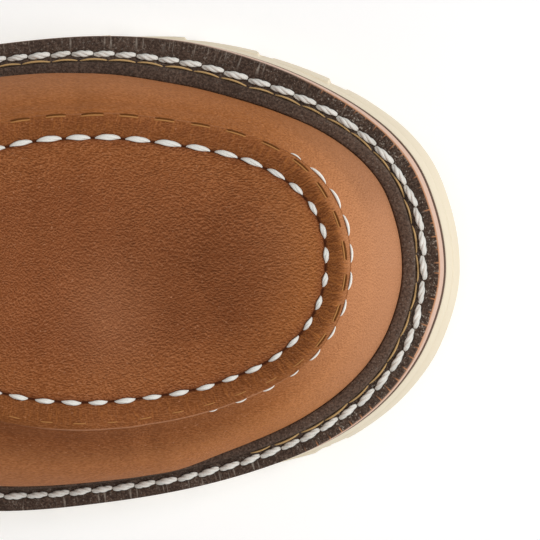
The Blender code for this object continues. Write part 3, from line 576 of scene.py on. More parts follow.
class Bench:
    """One material's nodes while it is being made."""

    def __init__(self, name: str) -> None:
        """Starts a material with its Principled shader."""
        self.material = bpy.data.materials.new(name)
        self.material.use_nodes = True
        self.tree = self.material.node_tree
        self.shader = self.tree.nodes["Principled BSDF"]

    def node(self, kind: str, settings: dict, sockets: dict) -> bpy.types.Node:
        """Adds one node.

        Args:
            kind: the node's type.
            settings: its properties, set first.
            sockets: values or wires for its inputs, by name or number.

        Returns:
            The new node.
        """
        node = self.tree.nodes.new(kind)
        for name, value in settings.items():
            setattr(node, name, value)
        for name, value in sockets.items():
            self.feed(node.inputs[name], value)
        return node

    def wire(self, kind: str, settings: dict, sockets: dict, output: int | str = 0) -> Wire:
        """Adds one node and gives one of its outputs."""
        return Wire(self, self.node(kind, settings, sockets).outputs[output])

    def feed(self, socket: bpy.types.NodeSocket, value: Any) -> None:
        """Links a wire to a socket, or sets its value."""
        if isinstance(value, Wire):
            self.tree.links.new(value.socket, socket)
        elif isinstance(value, tuple) and len(value) == 3 and socket.type == "RGBA":
            socket.default_value = (*value, 1.0)
        else:
            socket.default_value = value

    def set(self, **inputs: Any) -> None:
        """Sets or links the shader's own sockets; underscores stand for spaces."""
        for name, value in inputs.items():
            self.feed(self.shader.inputs[name.replace("_", " ")], value)

    def place(self) -> Wire:
        """The point on the piece, in metres."""
        return self.wire("ShaderNodeTexCoord", {}, {}, "Object")

    def stretched(self, vector: Wire, scale: tuple[float, float, float]) -> Wire:
        """A vector scaled along each axis."""
        return self.wire("ShaderNodeVectorMath", {"operation": "MULTIPLY"}, {0: vector, 1: scale})

    def moved(self, vector: Wire, step: Any) -> Wire:
        """A vector moved by a step."""
        return self.wire("ShaderNodeVectorMath", {"operation": "ADD"}, {0: vector, 1: step})

    def joined(self, x: Any, y: Any, z: Any) -> Wire:
        """A vector from three values."""
        return self.wire("ShaderNodeCombineXYZ", {}, {0: x, 1: y, 2: z})

    def field(self, name: str) -> Wire:
        """A value that the mesh carries at its points."""
        return self.wire("ShaderNodeAttribute", {"attribute_name": name}, {}, "Fac")

    def noise(self, vector: Wire, scale: float, detail: float = 2.0, rough: float = 0.5) -> Wire:
        """Cloudy noise from 0 to 1; scale is in swells per unit of the vector."""
        sockets = {"Vector": vector, "Scale": scale, "Detail": detail, "Roughness": rough}
        return self.wire("ShaderNodeTexNoise", {}, sockets)

    def mix(self, share: Any, first: Any, second: Any, blend: str = "MIX") -> Wire:
        """A colour between two colours."""
        settings = {"data_type": "RGBA", "blend_type": blend}
        return self.wire("ShaderNodeMix", settings, {0: share, 6: first, 7: second}, 2)

    def bump(self, height: Wire, depth_mm: float, strength: float = 1.0) -> None:
        """Feeds a height in units of depth_mm to the shader's normal."""
        sockets = {"Height": height, "Distance": depth_mm * MM, "Strength": strength}
        self.set(Normal=self.wire("ShaderNodeBump", {}, sockets))


LEATHER_FIELDS = ("pale", "glow", "dark", "gather", "inside", "edge", "folded", "rim", "row", "gap", "seam_u",
                  "seam_d")


@dataclass(frozen=True)
class UpperLeather:
    """Oiled brown leather, pale where it is stretched, with fine grain, worn specks, a plain lining and
    painted light and shade.
    """

    name: str = "upper_leather"
    body: Colour = (0.334, 0.111, 0.038)
    rich: Colour = (0.246, 0.076, 0.0245)
    # deep: darkest brown, for darker patches, painted shade and the painted shadow in the seam's valley
    deep: Colour = (0.060, 0.016, 0.006)
    # light: lighter orange that the painted light on the vamp mixes towards; also the light streaks of the
    # gathers
    light: Colour = (0.500, 0.182, 0.049)
    pale: Colour = (0.615, 0.296, 0.161)
    # fold: darker tone of the seam's rolled band, partly painted shade; also the painted shadow at the fold
    # edge
    fold: Colour = (0.225, 0.074, 0.020)
    lining: Colour = (0.420, 0.265, 0.150)
    grain_lit: Colour = (0.160, 0.082, 0.042)
    grain_shade: Colour = (0.560, 0.480, 0.420)

    def make(self) -> bpy.types.Material:
        """Builds the material.

        Returns:
            The leather; it reads the fields named in LEATHER_FIELDS of a mesh.
        """
        b = Bench(self.name)
        at = b.place()
        pale = b.field("pale")
        cloud = b.noise(at, 24.0, 3.0)
        blotch = b.noise(at, 120.0, 3.0, 0.6)
        wave = b.joined(0.0, (b.noise(at, 70.0, 0.0) - 0.5) * 0.0024, 0.0)
        pores = b.stretched(b.moved(at, wave), (0.345, 1.0, 1.0))
        # painted light and shade on the grain: the grain minus the same grain moved 0.36 mm along y, as if
        # lit from one side; it also feeds the bump
        grain = b.noise(pores, 3400.0, 1.0, 0.5)
        beside = b.noise(b.moved(pores, (0.0, 0.00036, 0.0)), 3400.0, 1.0, 0.5)
        fine = b.noise(b.stretched(at, (0.5, 1.0, 1.0)), 1100.0, 2.0, 0.6)
        texture = (grain - beside) * (1.2 + cloud * 2.8) + (fine - 0.5) * 0.40
        # painted light, with some lighter leather, mixed towards the light colour
        glow = b.field("glow").limited()
        tone = ((cloud - 0.36) * 2.2 + (blotch - 0.5) * 0.9).limited()
        colour = b.mix(pale.limited(), b.mix(glow, b.mix(tone, self.rich, self.body), self.light), self.pale)
        edge = b.field("edge")
        # the rolled band between valley and fold edge: darker tone and painted shade
        folded = (edge * 2.2 + 0.5).limited() * b.field("folded")
        colour = b.mix(folded, colour, b.mix(tone * 0.7, self.fold, self.body))
        rim = (1.2 - abs(edge) * 3.2).limited() * b.field("rim")
        row = b.field("row")
        calm = 0.42 + (row * 0.6 + 0.5).limited() * 0.24 - pale.limited() * 0.2
        # painted highlight and painted shade on the grain's relief
        lit = b.mix(1.0, colour, self.grain_lit, "ADD")
        colour = b.mix((texture * 2.0).limited() * calm, colour, lit)
        shaded = b.mix(1.0, colour, self.grain_shade, "MULTIPLY")
        colour = b.mix((texture * -2.0).limited() * calm, colour, shaded)
        colour = b.mix(rim.limited(), colour, self.pale)
        # painted shadow along the fold edge round the toe, where rim is negative
        colour = b.mix((rim * -1.0).limited(), colour, self.fold)
        sway = (b.noise(at, 420.0, 1.0) - 0.5) * 1.6
        streak = b.noise(b.joined(b.field("seam_u") + sway, b.field("seam_d") * 0.16, 0.0), 2.1, 2.0, 0.6)
        hairs = (streak - 0.5) * b.field("gather")
        colour = b.mix((hairs * 5.5).limited() * 0.75, colour, self.light)
        colour = b.mix((hairs * -5.0).limited() * 0.45, colour, self.deep)
        # painted shadow along the seam's valley, darkest in the gaps between the stitches, mixed in with the
        # dark field
        line = (1.3 - abs(row) * 2.2).limited() * b.field("gap")
        colour = b.mix((b.field("dark") + line).limited(), colour, self.deep)
        speck = (b.noise(at, 1900.0, 0.0) - 0.74) * 9.0
        colour = b.mix(speck.limited() * 0.4, colour, self.pale)
        colour = b.mix(b.field("inside").limited(), colour, b.mix(grain, self.lining, self.pale))
        b.set(Base_Color=colour, Roughness=0.58 + (blotch - 0.5) * 0.22 + (fine - 0.5) * 0.12)
        b.set(Specular_IOR_Level=0.04)
        b.bump(texture * calm * 1.3 + hairs * 1.6, 0.20, 0.9)
        return b.material


@dataclass(frozen=True)
class WeltLeather:
    """Dark dyed welt leather, dusty and scratched, with a natural edge where it is cut, and painted light on
    its rib's top.
    """

    name: str = "welt_leather"
    body: Colour = (0.042, 0.024, 0.016)
    # worn: lighter brown for wear and for the painted light on the rib's top
    worn: Colour = (0.165, 0.108, 0.078)
    cut: Colour = (0.660, 0.410, 0.300)
    edge: Colour = (0.760, 0.550, 0.440)
    tick: Colour = (0.600, 0.270, 0.120)
    dust: Colour = (0.560, 0.500, 0.420)

    def make(self) -> bpy.types.Material:
        """Builds the material.

        Returns:
            The leather; it reads the fields cut, tick, scuff, rib, dust, seam_u and seam_d of a mesh.
        """
        b = Bench(self.name)
        at = b.place()
        cloud = b.noise(at, 120.0, 3.0, 0.6)
        grain = b.noise(at, 1900.0, 3.0, 0.7)
        scratch = b.noise(b.joined(b.field("seam_u"), b.field("seam_d") * 0.10, 0.0), 1.3, 2.0)
        # wear, and painted light on the rib's top from the rib field
        wear_and_rib_light = cloud * 0.4 + (grain - 0.5) * 3.2 + b.field("rib") * 0.38
        colour = b.mix(wear_and_rib_light.limited(), self.body, self.worn)
        colour = b.mix(((scratch - 0.57) * 6.0).limited() * b.field("scuff") * 0.45, colour, self.dust)
        dust = (b.noise(at, 1700.0, 2.0, 0.7) - 0.60 + (cloud - 0.5) * 0.25) * 12.0
        colour = b.mix(dust.limited() * b.field("dust") * 0.62, colour, self.dust)
        colour = b.mix(b.field("tick").limited(), colour, self.tick)
        colour = b.mix(b.field("cut").limited(), colour, b.mix(grain, self.cut, self.edge))
        b.set(Base_Color=colour, Roughness=0.66 + (grain - 0.5) * 0.25)
        b.set(Specular_IOR_Level=0.22)
        b.bump(grain + scratch * b.field("scuff") * 0.5, 0.14, 0.8)
        return b.material


@dataclass(frozen=True)
class SewingThread:
    """Waxed thread with fine fibres, painted shade in the hollows between its strands, and a little soiling.
    """

    name: str
    body: Colour
    shade: Colour
    fibre: float = 5200.0
    soiling: float = 0.0
    gloss: float = 0.35

    def make(self) -> bpy.types.Material:
        """Builds the material.

        Returns:
            The thread; it reads the field hollow of a mesh.
        """
        b = Bench(self.name)
        at = b.place()
        fibre = b.noise(at, self.fibre, 2.0, 0.6)
        soil = (b.noise(at, 170.0, 3.0, 0.6) - 0.47) * self.soiling
        # painted shade where the hollow field is high, between the strands
        shaded = b.field("hollow") * 0.9 + (0.42 - fibre) * 0.8 + soil
        colour = b.mix(shaded.limited(), self.body, self.shade)
        b.set(Base_Color=colour, Roughness=0.66 + (fibre - 0.5) * 0.2)
        b.set(Specular_IOR_Level=self.gloss, Sheen_Weight=self.gloss * 0.3)
        b.bump(fibre, 0.07, 0.7)
        return b.material


@dataclass(frozen=True)
class PlainFinish:
    """A finish of one colour family: cloudy tone, fine texture and a roughness that follows them."""

    name: str
    body: Colour
    other: Colour
    cloud_scale: float
    grain_scale: float
    rough: float
    depth: float = 0.08
    metal: float = 0.0
    grain_tone: float = 0.5

    def make(self) -> bpy.types.Material:
        """Builds the material.

        Returns:
            The finish.
        """
        b = Bench(self.name)
        at = b.place()
        cloud = b.noise(at, self.cloud_scale, 3.0, 0.55)
        grain = b.noise(at, self.grain_scale, 2.0, 0.6)
        tone = ((cloud - 0.5) * 1.3 + (grain - 0.5) * self.grain_tone + 0.4).limited()
        b.set(Base_Color=b.mix(tone, self.body, self.other), Metallic=self.metal)
        b.set(Roughness=self.rough + (cloud - 0.5) * 0.18 + (grain - 0.5) * 0.12)
        b.bump(grain, self.depth, 0.7)
        return b.material


THREAD_WHITE = SewingThread("white_thread", (0.87, 0.85, 0.79), (0.44, 0.40, 0.33), 5200.0, 1.5)
THREAD_BRIGHT = SewingThread("bright_thread", (0.83, 0.82, 0.765), (0.58, 0.55, 0.48))
THREAD_CREAM = SewingThread("cream_thread", (0.95, 0.91, 0.83), (0.80, 0.72, 0.60), gloss=0.1)
THREAD_GOLD = SewingThread("gold_thread", (0.64, 0.40, 0.165), (0.34, 0.18, 0.06))
THREAD_TAN = SewingThread("tan_thread", (0.46, 0.205, 0.062), (0.30, 0.125, 0.034), gloss=0.12)
# dark strands laid in the crest's slits: painted shadow inside the slits
SLIT_SHADOW = SewingThread("painted_slit_shadow", (0.145, 0.050, 0.012), (0.10, 0.034, 0.008), gloss=0.03)
CREAM_RUBBER = PlainFinish("cream_rubber", (0.815, 0.71, 0.53), (0.86, 0.765, 0.59), 40.0, 2600.0, 0.62, 0.05)
# dark midsole sheet; its colour also paints the shadow in the gap between welt and outsole
MIDSOLE_AND_GAP_SHADOW = PlainFinish("dark_midsole", (0.085, 0.040, 0.022), (0.130, 0.068, 0.042), 150.0, 2400.0, 0.85)
FOOTBED = PlainFinish("insole_leather", (0.40, 0.25, 0.14), (0.52, 0.35, 0.21), 60.0, 1500.0, 0.7, 0.12)
BRASS = PlainFinish("eyelet_brass", (0.52, 0.36, 0.15), (0.36, 0.24, 0.10), 300.0, 2500.0, 0.34, 0.03, 1.0)
LACE_CORD = PlainFinish("lace_cord", (0.115, 0.060, 0.030), (0.24, 0.135, 0.07), 500.0, 4200.0, 0.8, 0.1,
                        grain_tone=1.2)


class Workshop:
    """Makes pieces from arrays and keeps one material for each finish."""

    def __init__(self) -> None:
        """Starts with no materials."""
        self.materials: dict[str, bpy.types.Material] = {}

    def finish(self, kind: Any) -> bpy.types.Material:
        """The material of a finish, made once."""
        if kind.name not in self.materials:
            self.materials[kind.name] = kind.make()
        return self.materials[kind.name]

    def turn_outward(self, mesh: bpy.types.Mesh) -> None:
        """Turns all faces of a mesh the same way, out of the piece."""
        body = bmesh.new()
        body.from_mesh(mesh)
        bmesh.ops.recalc_face_normals(body, faces=body.faces)
        body.to_mesh(mesh)
        body.free()

    def piece(self, name: str, points: Array, faces: Any, kind: Any, slot: str,
              fields: dict[str, Array] | None = None, sharp: float = 40.0,
              sewn: bool = False) -> bpy.types.Object:
        """Makes one piece of the boot and lets it ride on the body.

        Args:
            name: the piece's plain name.
            points: points in millimetres, in the boot's frame.
            faces: corner numbers of each face.
            kind: the finish.
            slot: material slot of the record; not used.
            fields: values at the points, by name.
            sharp: edges over this angle, in degrees, are shaded as edges.
            sewn: rows of stitches, open at their sunk ends, whose faces already point out.

        Returns:
            The new object.
        """
        mesh = bpy.data.meshes.new(name)
        mesh.from_pydata((np.asarray(points) * MM).tolist(), [], [list(f) for f in faces])
        if not sewn:
            self.turn_outward(mesh)
        for field_name, values in (fields or {}).items():
            layer = mesh.attributes.new(field_name, "FLOAT", "POINT")
            layer.data.foreach_set("value", np.ascontiguousarray(values, dtype=np.float32))
        mesh.polygons.foreach_set("use_smooth", np.ones(len(mesh.polygons), dtype=bool))
        mesh.set_sharp_from_angle(angle=math.radians(sharp))
        mesh.materials.append(self.finish(kind))
        item = bpy.data.objects.new(name, mesh)
        bpy.context.scene.collection.objects.link(item)
        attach(item, "root")
        LOG.info("%s: %d faces", name, len(mesh.polygons))
        return item

    def sew(self, name: str, runs: Sequence[tuple[Array, Array, Array]], kind: SewingThread,
            slot: str) -> None:
        """Joins rows of stitches into one piece.

        Args:
            name: the piece's name.
            runs: points, quads and hollow field of each row.
            kind: the thread.
            slot: material slot of the record.
        """
        starts = np.cumsum([0] + [len(run[0]) for run in runs])
        points = np.concatenate([run[0] for run in runs])
        faces = np.concatenate([run[1] + start for run, start in zip(runs, starts)])
        fields = {"hollow": np.concatenate([run[2] for run in runs])}
        self.piece(name, points, faces, kind, slot, fields, 180.0, sewn=True)


def grid_faces(rows: int, columns: int, wrap: bool = False, start: int = 0) -> Array:
    """Quads of a grid of points kept row by row.

    Args:
        rows: how many rows.
        columns: points in a row.
        wrap: joins each row's end to its start.
        start: number of the grid's first point.

    Returns:
        Four corner numbers for each quad.
    """
    across = np.arange(columns if wrap else columns - 1)
    ahead = (across + 1) % columns
    base = (np.arange(rows - 1) * columns)[:, None]
    quads = np.stack([base + across, base + ahead, base + columns + ahead, base + columns + across], axis=-1)
    return quads.reshape(-1, 4) + start


def welded(points: Array, faces: Array, fields: dict[str, Array]) -> tuple[Array, list, dict[str, Array]]:
    """Points at one place made one, and quads that lose a corner made triangles.

    Args:
        points: points in millimetres.
        faces: quads.
        fields: values at the points.

    Returns:
        The points, faces and fields that are left.
    """
    keys = np.round(points * 2000.0).astype(np.int64)
    _, first, index = np.unique(keys, axis=0, return_index=True, return_inverse=True)
    faces = index.reshape(-1)[faces]
    kept = []
    for quad in faces.tolist():
        corners = [c for i, c in enumerate(quad) if c != quad[i - 1]]
        if len(set(corners)) > 2:
            kept.append(corners)
    return points[first], kept, {name: values[first] for name, values in fields.items()}


@dataclass
class StitchShape:
    """One visible stitch: a few strands twisted together, dipping into the leather at its ends."""

    length: float
    width: float
    height: float
    strands: int = 2
    turns: float = 1.0
    point: float = 0.6
    sink: float = 0.3
    sides: int = 8
    steps: int = 13
    bow: float = 0.0
    spread: float = 0.5

    def template(self) -> tuple[Array, Array, Array]:
        """Builds the stitch along X with its middle over the origin.

        Returns:
            Its points, its quads and how deep each point lies between the strands.
        """
        v = np.linspace(0.0, 1.0, self.steps)
        swell = np.sin(math.pi * v) ** self.point
        swell[0] = swell[-1] = 0.0
        girth = 0.12 + 0.88 * swell
        lift = (np.sin(math.pi * v) ** 0.55) * (self.height * 0.5 + self.sink) - self.sink
        spread = self.spread if self.strands > 1 else 0.0
        thick = 1.0 - 0.84 * spread
        bow = self.bow * (1.0 - (2.0 * v - 1.0) ** 2)
        points, faces, hollow = [], [], []
        ring = np.linspace(0.0, 2.0 * math.pi, self.sides, endpoint=False)
        for strand in range(self.strands):
            turn = 2.0 * math.pi * (self.turns * v + strand / self.strands)
            y0 = spread * 0.5 * self.width * np.cos(turn) * girth + bow
            z0 = spread * 0.5 * self.height * np.sin(turn) * girth
            radius = thick * 0.5 * girth
            y = y0[:, None] + radius[:, None] * self.width * np.cos(ring)
            z = z0[:, None] + radius[:, None] * self.height * np.sin(ring) + lift[:, None]
            x = np.broadcast_to(((v - 0.5) * self.length)[:, None], y.shape)
            start = strand * self.steps * self.sides
            points.append(np.stack([x, y, z], axis=-1).reshape(-1, 3))
            faces.append(grid_faces(self.steps, self.sides, True, start))
            out = np.hypot((y - bow[:, None]) / self.width, (z - lift[:, None]) / self.height)
            out = out / np.maximum(girth[:, None], 0.15)
            hollow.append(np.clip(1.0 - out * 2.1, 0.0, 1.0).reshape(-1))
        return np.concatenate(points), np.concatenate(faces), np.concatenate(hollow)


@dataclass
class SewnRun:
    """A row of stitches along a path on a surface."""

    shape: StitchShape
    pitch: float
    seed: float = 0.0
    wander: float = 0.05
    phase: float | None = None
    tilt: float = 0.0

    def middles(self, marks: Array, closed: bool) -> Array:
        """Where the stitches' middles fall: evenly from end to end, or in step with the phase."""
        if self.phase is None:
            count = max(int(round((marks[-1] - marks[0]) / self.pitch)), 1)
            return marks[0] + (np.arange(count) + (0.0 if closed else 0.5)) * (marks[-1] - marks[0]) / count
        first = math.ceil((marks[0] - self.phase) / self.pitch + 0.5)
        last = math.floor((marks[-1] - self.phase) / self.pitch - 0.5)
        return self.phase + np.arange(first, last + 1) * self.pitch

    def build(self, path: Array, normals: Array, closed: bool = False, marks: Array | None = None,
              strength: Callable | None = None,
              stretch: Callable | None = None) -> tuple[Array, Array, Array]:
        """Lays the stitches.

        Args:
            path: points in millimetres along the row.
            normals: the surface's direction out at those points.
            closed: the row meets its own start.
            marks: running length that spaces the stitches, when it isn't the path's own; they shrink to fit.
            strength: share of its full size that a stitch has, by its mark.
            stretch: share of its length alone, by its mark.

        Returns:
            Points, quads and the hollow field of all the stitches.
        """
        run = lengths(path)
        fit = marks is not None
        marks = run if marks is None else marks
        middles = self.middles(marks, closed)
        if strength is not None:
            middles = middles[strength(middles) > 0.25]
        size = 1.0 + 0.08 * uneven(np.arange(len(middles)) * 5.1, 9.0, self.seed + 2.0)
        long = size.copy()
        if fit:
            ends = [np.clip(middles + s * self.pitch / 2.0, marks[0], marks[-1]) for s in (-1.0, 1.0)]
            fit = np.diff(np.interp(ends, marks, run), axis=0)[0] / np.diff(ends, axis=0)[0]
            long *= fit
            size *= np.sqrt(fit)
        if strength is not None:
            size *= strength(middles)
            long *= strength(middles)
        if stretch is not None:
            long *= stretch(middles)
        at = np.interp(middles, marks, run)
        base, faces, hollow = self.shape.template()
        half = self.shape.length * long / 2.0
        ahead, behind = (read_at(np.clip(at + s * half, 0.0, run[-1]), run, path) for s in (1.0, -1.0))
        along = unit(ahead - behind)
        up = read_at(at, run, normals)
        up = unit(up - along * (up * along).sum(axis=-1, keepdims=True))
        across = np.cross(up, along)
        swing = self.tilt + self.wander * uneven(np.arange(len(at)) * 7.3, 11.0, self.seed)[:, None]
        along, across = along + across * swing, across - along * swing
        local = base[None] * np.stack([long, size, size], axis=-1)[:, None]
        points = read_at(at, run, path)[:, None] + local[..., :1] * along[:, None]
        points = points + local[..., 1:2] * across[:, None]
        points = points + local[..., 2:] * up[:, None]
        numbers = faces[None] + (np.arange(len(at)) * len(base))[:, None, None]
        return points.reshape(-1, 3), numbers.reshape(-1, 4), np.tile(hollow, len(at))


@dataclass
class Sole:
    """Cream wedge outsole and the thin dark midsole on it."""

    form: BootForm
    shop: Workshop
    tread_deep: float = 2.6
    tread_wide: float = 4.0
    forepart_bars: tuple = (24.0, 128.0)
    heel_bars: tuple = (206.0, 288.0)
    tread_across: float = 170.0
    sharp: float = 32.0

    def plate(self, rings: list[Array], count: int) -> tuple[Array, Array]:
        """Solid between stacked rings, closed below and above by strips from side to side.

        Args:
            rings: closed rings from the bottom up.
            count: points along one side.

        Returns:
            Points and faces.
        """
        size = len(rings[0])
        faces = [grid_faces(len(rings), size, True)]
        medial = np.arange(count)
        lateral = np.concatenate([[0], np.arange(size - 1, count - 1, -1), [count - 1]])
        cap = np.stack([medial[:-1], medial[1:], lateral[1:], lateral[:-1]], axis=-1)
        faces.append(cap)
        faces.append(cap[:, ::-1] + (len(rings) - 1) * size)
        points, faces, _ = welded(np.concatenate(rings), np.concatenate(faces), {})
        return points, faces

    def level(self, height: float) -> Callable:
        """A height that is the same all over."""
        return lambda x: np.full(np.shape(x), height)

    def up_to(self, share: float) -> Callable:
        """A height part way from the lugs to the outsole's top."""
        return lambda x: self.form.lug_height + (self.form.wedge_top(x) - self.form.lug_height) * share

    def even(self, depth: float) -> Callable:
        """An inset that is the same all round."""
        return lambda p, s: np.full(np.shape(p), depth)

    def lugs(self, depth: float) -> Callable:
        """An inset that steps out at each side lug."""
        return lambda p, s: depth - self.form.lug_swell(p, s)

    def make_outsole(self) -> None:
        """Builds the wedge, rounds its edges and cuts the tread bars."""
        form = self.form
        places = form.lug_places(150)
        lug = form.lug_height
        profile = (
            (self.lugs(1.3), self.level(0.0)), (self.lugs(0.5), self.level(0.25)),
            (self.lugs(0.0), self.level(1.0)), (self.lugs(0.0), self.level(lug - 0.7)),
            (self.lugs(0.15), self.level(lug - 0.3)), (self.even(0.2), self.level(lug)),
            (self.even(0.0), self.level(lug + 0.4)), (self.even(0.0), self.up_to(0.8)),
            (self.even(0.12), self.up_to(0.93)), (self.even(0.5), self.up_to(1.0)),
        )
        rings = [form.ring(places, depth, height) for depth, height in profile]
        points, faces = self.plate(rings, len(places))
        item = self.shop.piece("outsole_wedge", points, faces, CREAM_RUBBER, "cream_rubber", None, self.sharp)
        self.cut_tread(item)
        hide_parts("outsole")

    def cut_tread(self, item: bpy.types.Object) -> None:
        """Cuts bars across the underside, square to it where it curves up."""
        form = self.form
        pitch = form.lug_pitch
        bars = list(np.arange(*self.forepart_bars, pitch)) + list(np.arange(*self.heel_bars, pitch))
        body = bmesh.new()
        for back in bars:
            turn = Matrix.Rotation(-float(form.spring_angle(-back)), 4, "Y")
            sizes = Vector((self.tread_wide, self.tread_across, 2.0 * self.tread_deep)) * MM
            size = Matrix.Diagonal((*sizes, 1.0))
            middle = Vector(form.placed(np.array([-back, 0.0, 0.0])) * MM)
            bmesh.ops.create_cube(body, size=1.0, matrix=Matrix.Translation(middle) @ turn @ size)
        mesh = bpy.data.meshes.new("tread_bars")
        body.to_mesh(mesh)
        body.free()
        tool = bpy.data.objects.new("tread_bars", mesh)
        bpy.context.scene.collection.objects.link(tool)
        cut = item.modifiers.new("tread", "BOOLEAN")
        cut.operation, cut.solver, cut.object = "DIFFERENCE", "EXACT", tool
        bpy.context.view_layer.update()
        result = bpy.data.meshes.new_from_object(item.evaluated_get(bpy.context.evaluated_depsgraph_get()))
        item.modifiers.clear()
        item.data = result
        result.set_sharp_from_angle(angle=math.radians(self.sharp))
        bpy.data.objects.remove(tool)

    def make_midsole(self) -> None:
        """Builds the dark sheet that fills the space between outsole and welt; its dark colour also paints
        the shadow in that gap.
        """
        form = self.form
        places = np.linspace(0.0, 1.0, 160)
        top = form.midsole_thick + 2.0 * form.gap
        profile = ((0.36, 0.02), (0.14, 0.25), (0.14, top - 0.25), (0.36, top - 0.02))
        rings = [form.ring(places, self.even(d), lambda x, r=r: form.wedge_top(x) + r) for d, r in profile]
        points, faces = self.plate(rings, len(places))
        item = self.shop.piece("midsole_sheet", points, faces, MIDSOLE_AND_GAP_SHADOW, "dark_midsole", None, 50.0)
        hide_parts("midsole")


@dataclass
class Welt:
    """Storm welt: stitched outer margin with a notched edge, and a raised rib against the upper."""

    form: BootForm
    shop: Workshop
    notch_pitch: float = 3.1
    notch_deep: float = 0.16
    notch_long: float = 1.5
    notch_wide: float = 0.22
    # from_toe, set-in of the white stitches, medial and lateral
    stitch_plan: tuple = (
        (0.0, 3.95, 3.95),
        (1.2, 3.5, 3.6),
        (2.9, 3.3, 3.0),
        (5.3, 3.7, 2.85),
        (8.7, 3.8, 2.85),
        (15.0, 3.95, 2.9),
        (25.0, 4.0, 3.15),
        (35.0, 4.45, 3.1),
        (45.0, 4.95, 2.95),
        (62.0, 5.0, 2.9),
        (80.0, 4.45, 3.3),
        (110.0, 3.8, 3.7),
        (298.0, 3.6, 3.6),
    )
    stitch_pitch: float = 5.4
    groove_deep: float = 0.35
    toe_run: float = 66.0
    darker_edge_run: tuple = (8.0, 26.0)

    def stitch_line(self, places: Array, side: Side) -> Array:
        """Set-in of the white stitches, clear of the rib where it moves out."""
        line = self.form.side_value(self.stitch_plan, places, side)
        return line - 0.6 * self.form.quarter_room(places)

    def places(self) -> Array:
        """Places along a side, close together round the toe where the edge is notched."""
        fine = np.linspace(0.0, 1.0, 4001)
        run = lengths(self.form.welt_edge(fine, Side.MEDIAL))
        marks = np.concatenate([np.arange(0.0, self.toe_run, 0.125), np.linspace(self.toe_run, run[-1], 620)])
        return np.interp(marks, run, fine)

    def profile(self, places: Array, side: Side) -> list[tuple[Array, ...]]:
        """The welt's outline across its width, its cut edge darker on the upper half along the lateral side.

        Args:
            places: places along the side.
            side: which side.

        Returns:
            Inset, height, cut-edge share and rib share of each line along the welt, from its outer foot.
        """
        form = self.form
        run = lengths(form.welt_edge(places, side))
        thick, top = form.welt_thick, form.welt_thick + form.rib_rise
        room = form.quarter_room(places)
        foot = form.band(places, side, 0) - room
        inner_top = form.band(places, side, 1) - 0.12 - room - form.bulge(places, side, top - 0.25)
        inner_low = form.band(places, side, 1) - form.gap - room
        groove = self.stitch_line(places, side)
        notch = self.notch(run)
        # behind the toe on the lateral side, the upper half of the cut edge is darker
        cut_shows = 1.0 - (0.0 if side is Side.MEDIAL else 1.0) * ease(run, *self.darker_edge_run)
        half = 0.5 * (thick - 0.15)
        lines = [(0.06, 0.0, 1.0, 0.0), (0.0, 0.3, 1.0, 0.0), (0.0, half, 1.0, 0.0),
                 (0.0, half + 0.15, 0.12 + 0.88 * cut_shows, 0.0), (0.0, thick - 0.45, cut_shows, 0.0),
                 (0.03, thick - 0.24, 0.35 * cut_shows, 0.0), (0.14, thick - 0.06 - notch * 0.8, 0.12 * cut_shows, 0.0),
                 (0.34, thick - notch, 0.0, 0.0)]
        for depth in (0.7, 1.1, self.notch_long, self.notch_long + 0.35):
            lines.append((depth, thick - notch * float(ease(depth, self.notch_long + 0.3, 0.6)), 0.0, 0.0))
        for across in (-1.1, -0.8, -0.45, 0.0, 0.45, 0.8, 1.1):
            dip = self.groove_deep * math.exp(-((across / 0.7) ** 2))
            lines.append((groove + across, thick - dip, 0.0, 0.0))
        for more, rise in ((-0.75, 0.0), (-0.35, 0.05), (-0.1, 0.35), (0.0, 0.9)):
            lines.append((foot + more, thick + rise, 0.0, float(rise > 0.3)))
        for share, fall in ((0.01, 0.6), (0.04, 0.22), (0.10, 0.05), (0.30, 0.0), (0.62, 0.0), (0.88, 0.03),
                            (0.97, 0.12)):
            lines.append((foot + (inner_top - foot) * share, top - fall, 0.0, 1.0))
        lines += [(inner_top, top - 0.3, 0.0, 1.0), (inner_low, 0.0, 0.0, 1.0)]
        return [tuple(np.broadcast_to(value, run.shape) for value in line) for line in lines]

    def notch(self, run: Array) -> Array:
        """Depth of the pressed notches along the edge."""
        drift = 0.5 * uneven(run, 23.0, 1.0)
        phase = ((run + drift) / self.notch_pitch) % 1.0 - 0.5
        width = self.notch_wide / self.notch_pitch
        strength = 1.0 - 0.7 * ease(run, 52.0, 66.0)
        return self.notch_deep * np.exp(-((phase / width) ** 2) * 2.0) * strength

    def make(self) -> None:
        """Builds the welt."""
        form = self.form
        places = self.places()
        names = ("cut", "tick", "scuff", "rib", "dust", "seam_u", "seam_d")
        halves, fields = [], {name: [] for name in names}
        for side in Side:
            run = lengths(form.welt_edge(places, side))
            notch = np.clip(self.notch(run) / self.notch_deep * 1.2 - 0.2, 0.0, 1.0)
            long = self.notch_long * (0.85 + 0.5 * uneven(np.round(run / self.notch_pitch) * 7.0, 5.0, 2.0))
            toe = 1.0 - ease(run, 50.0, 64.0)
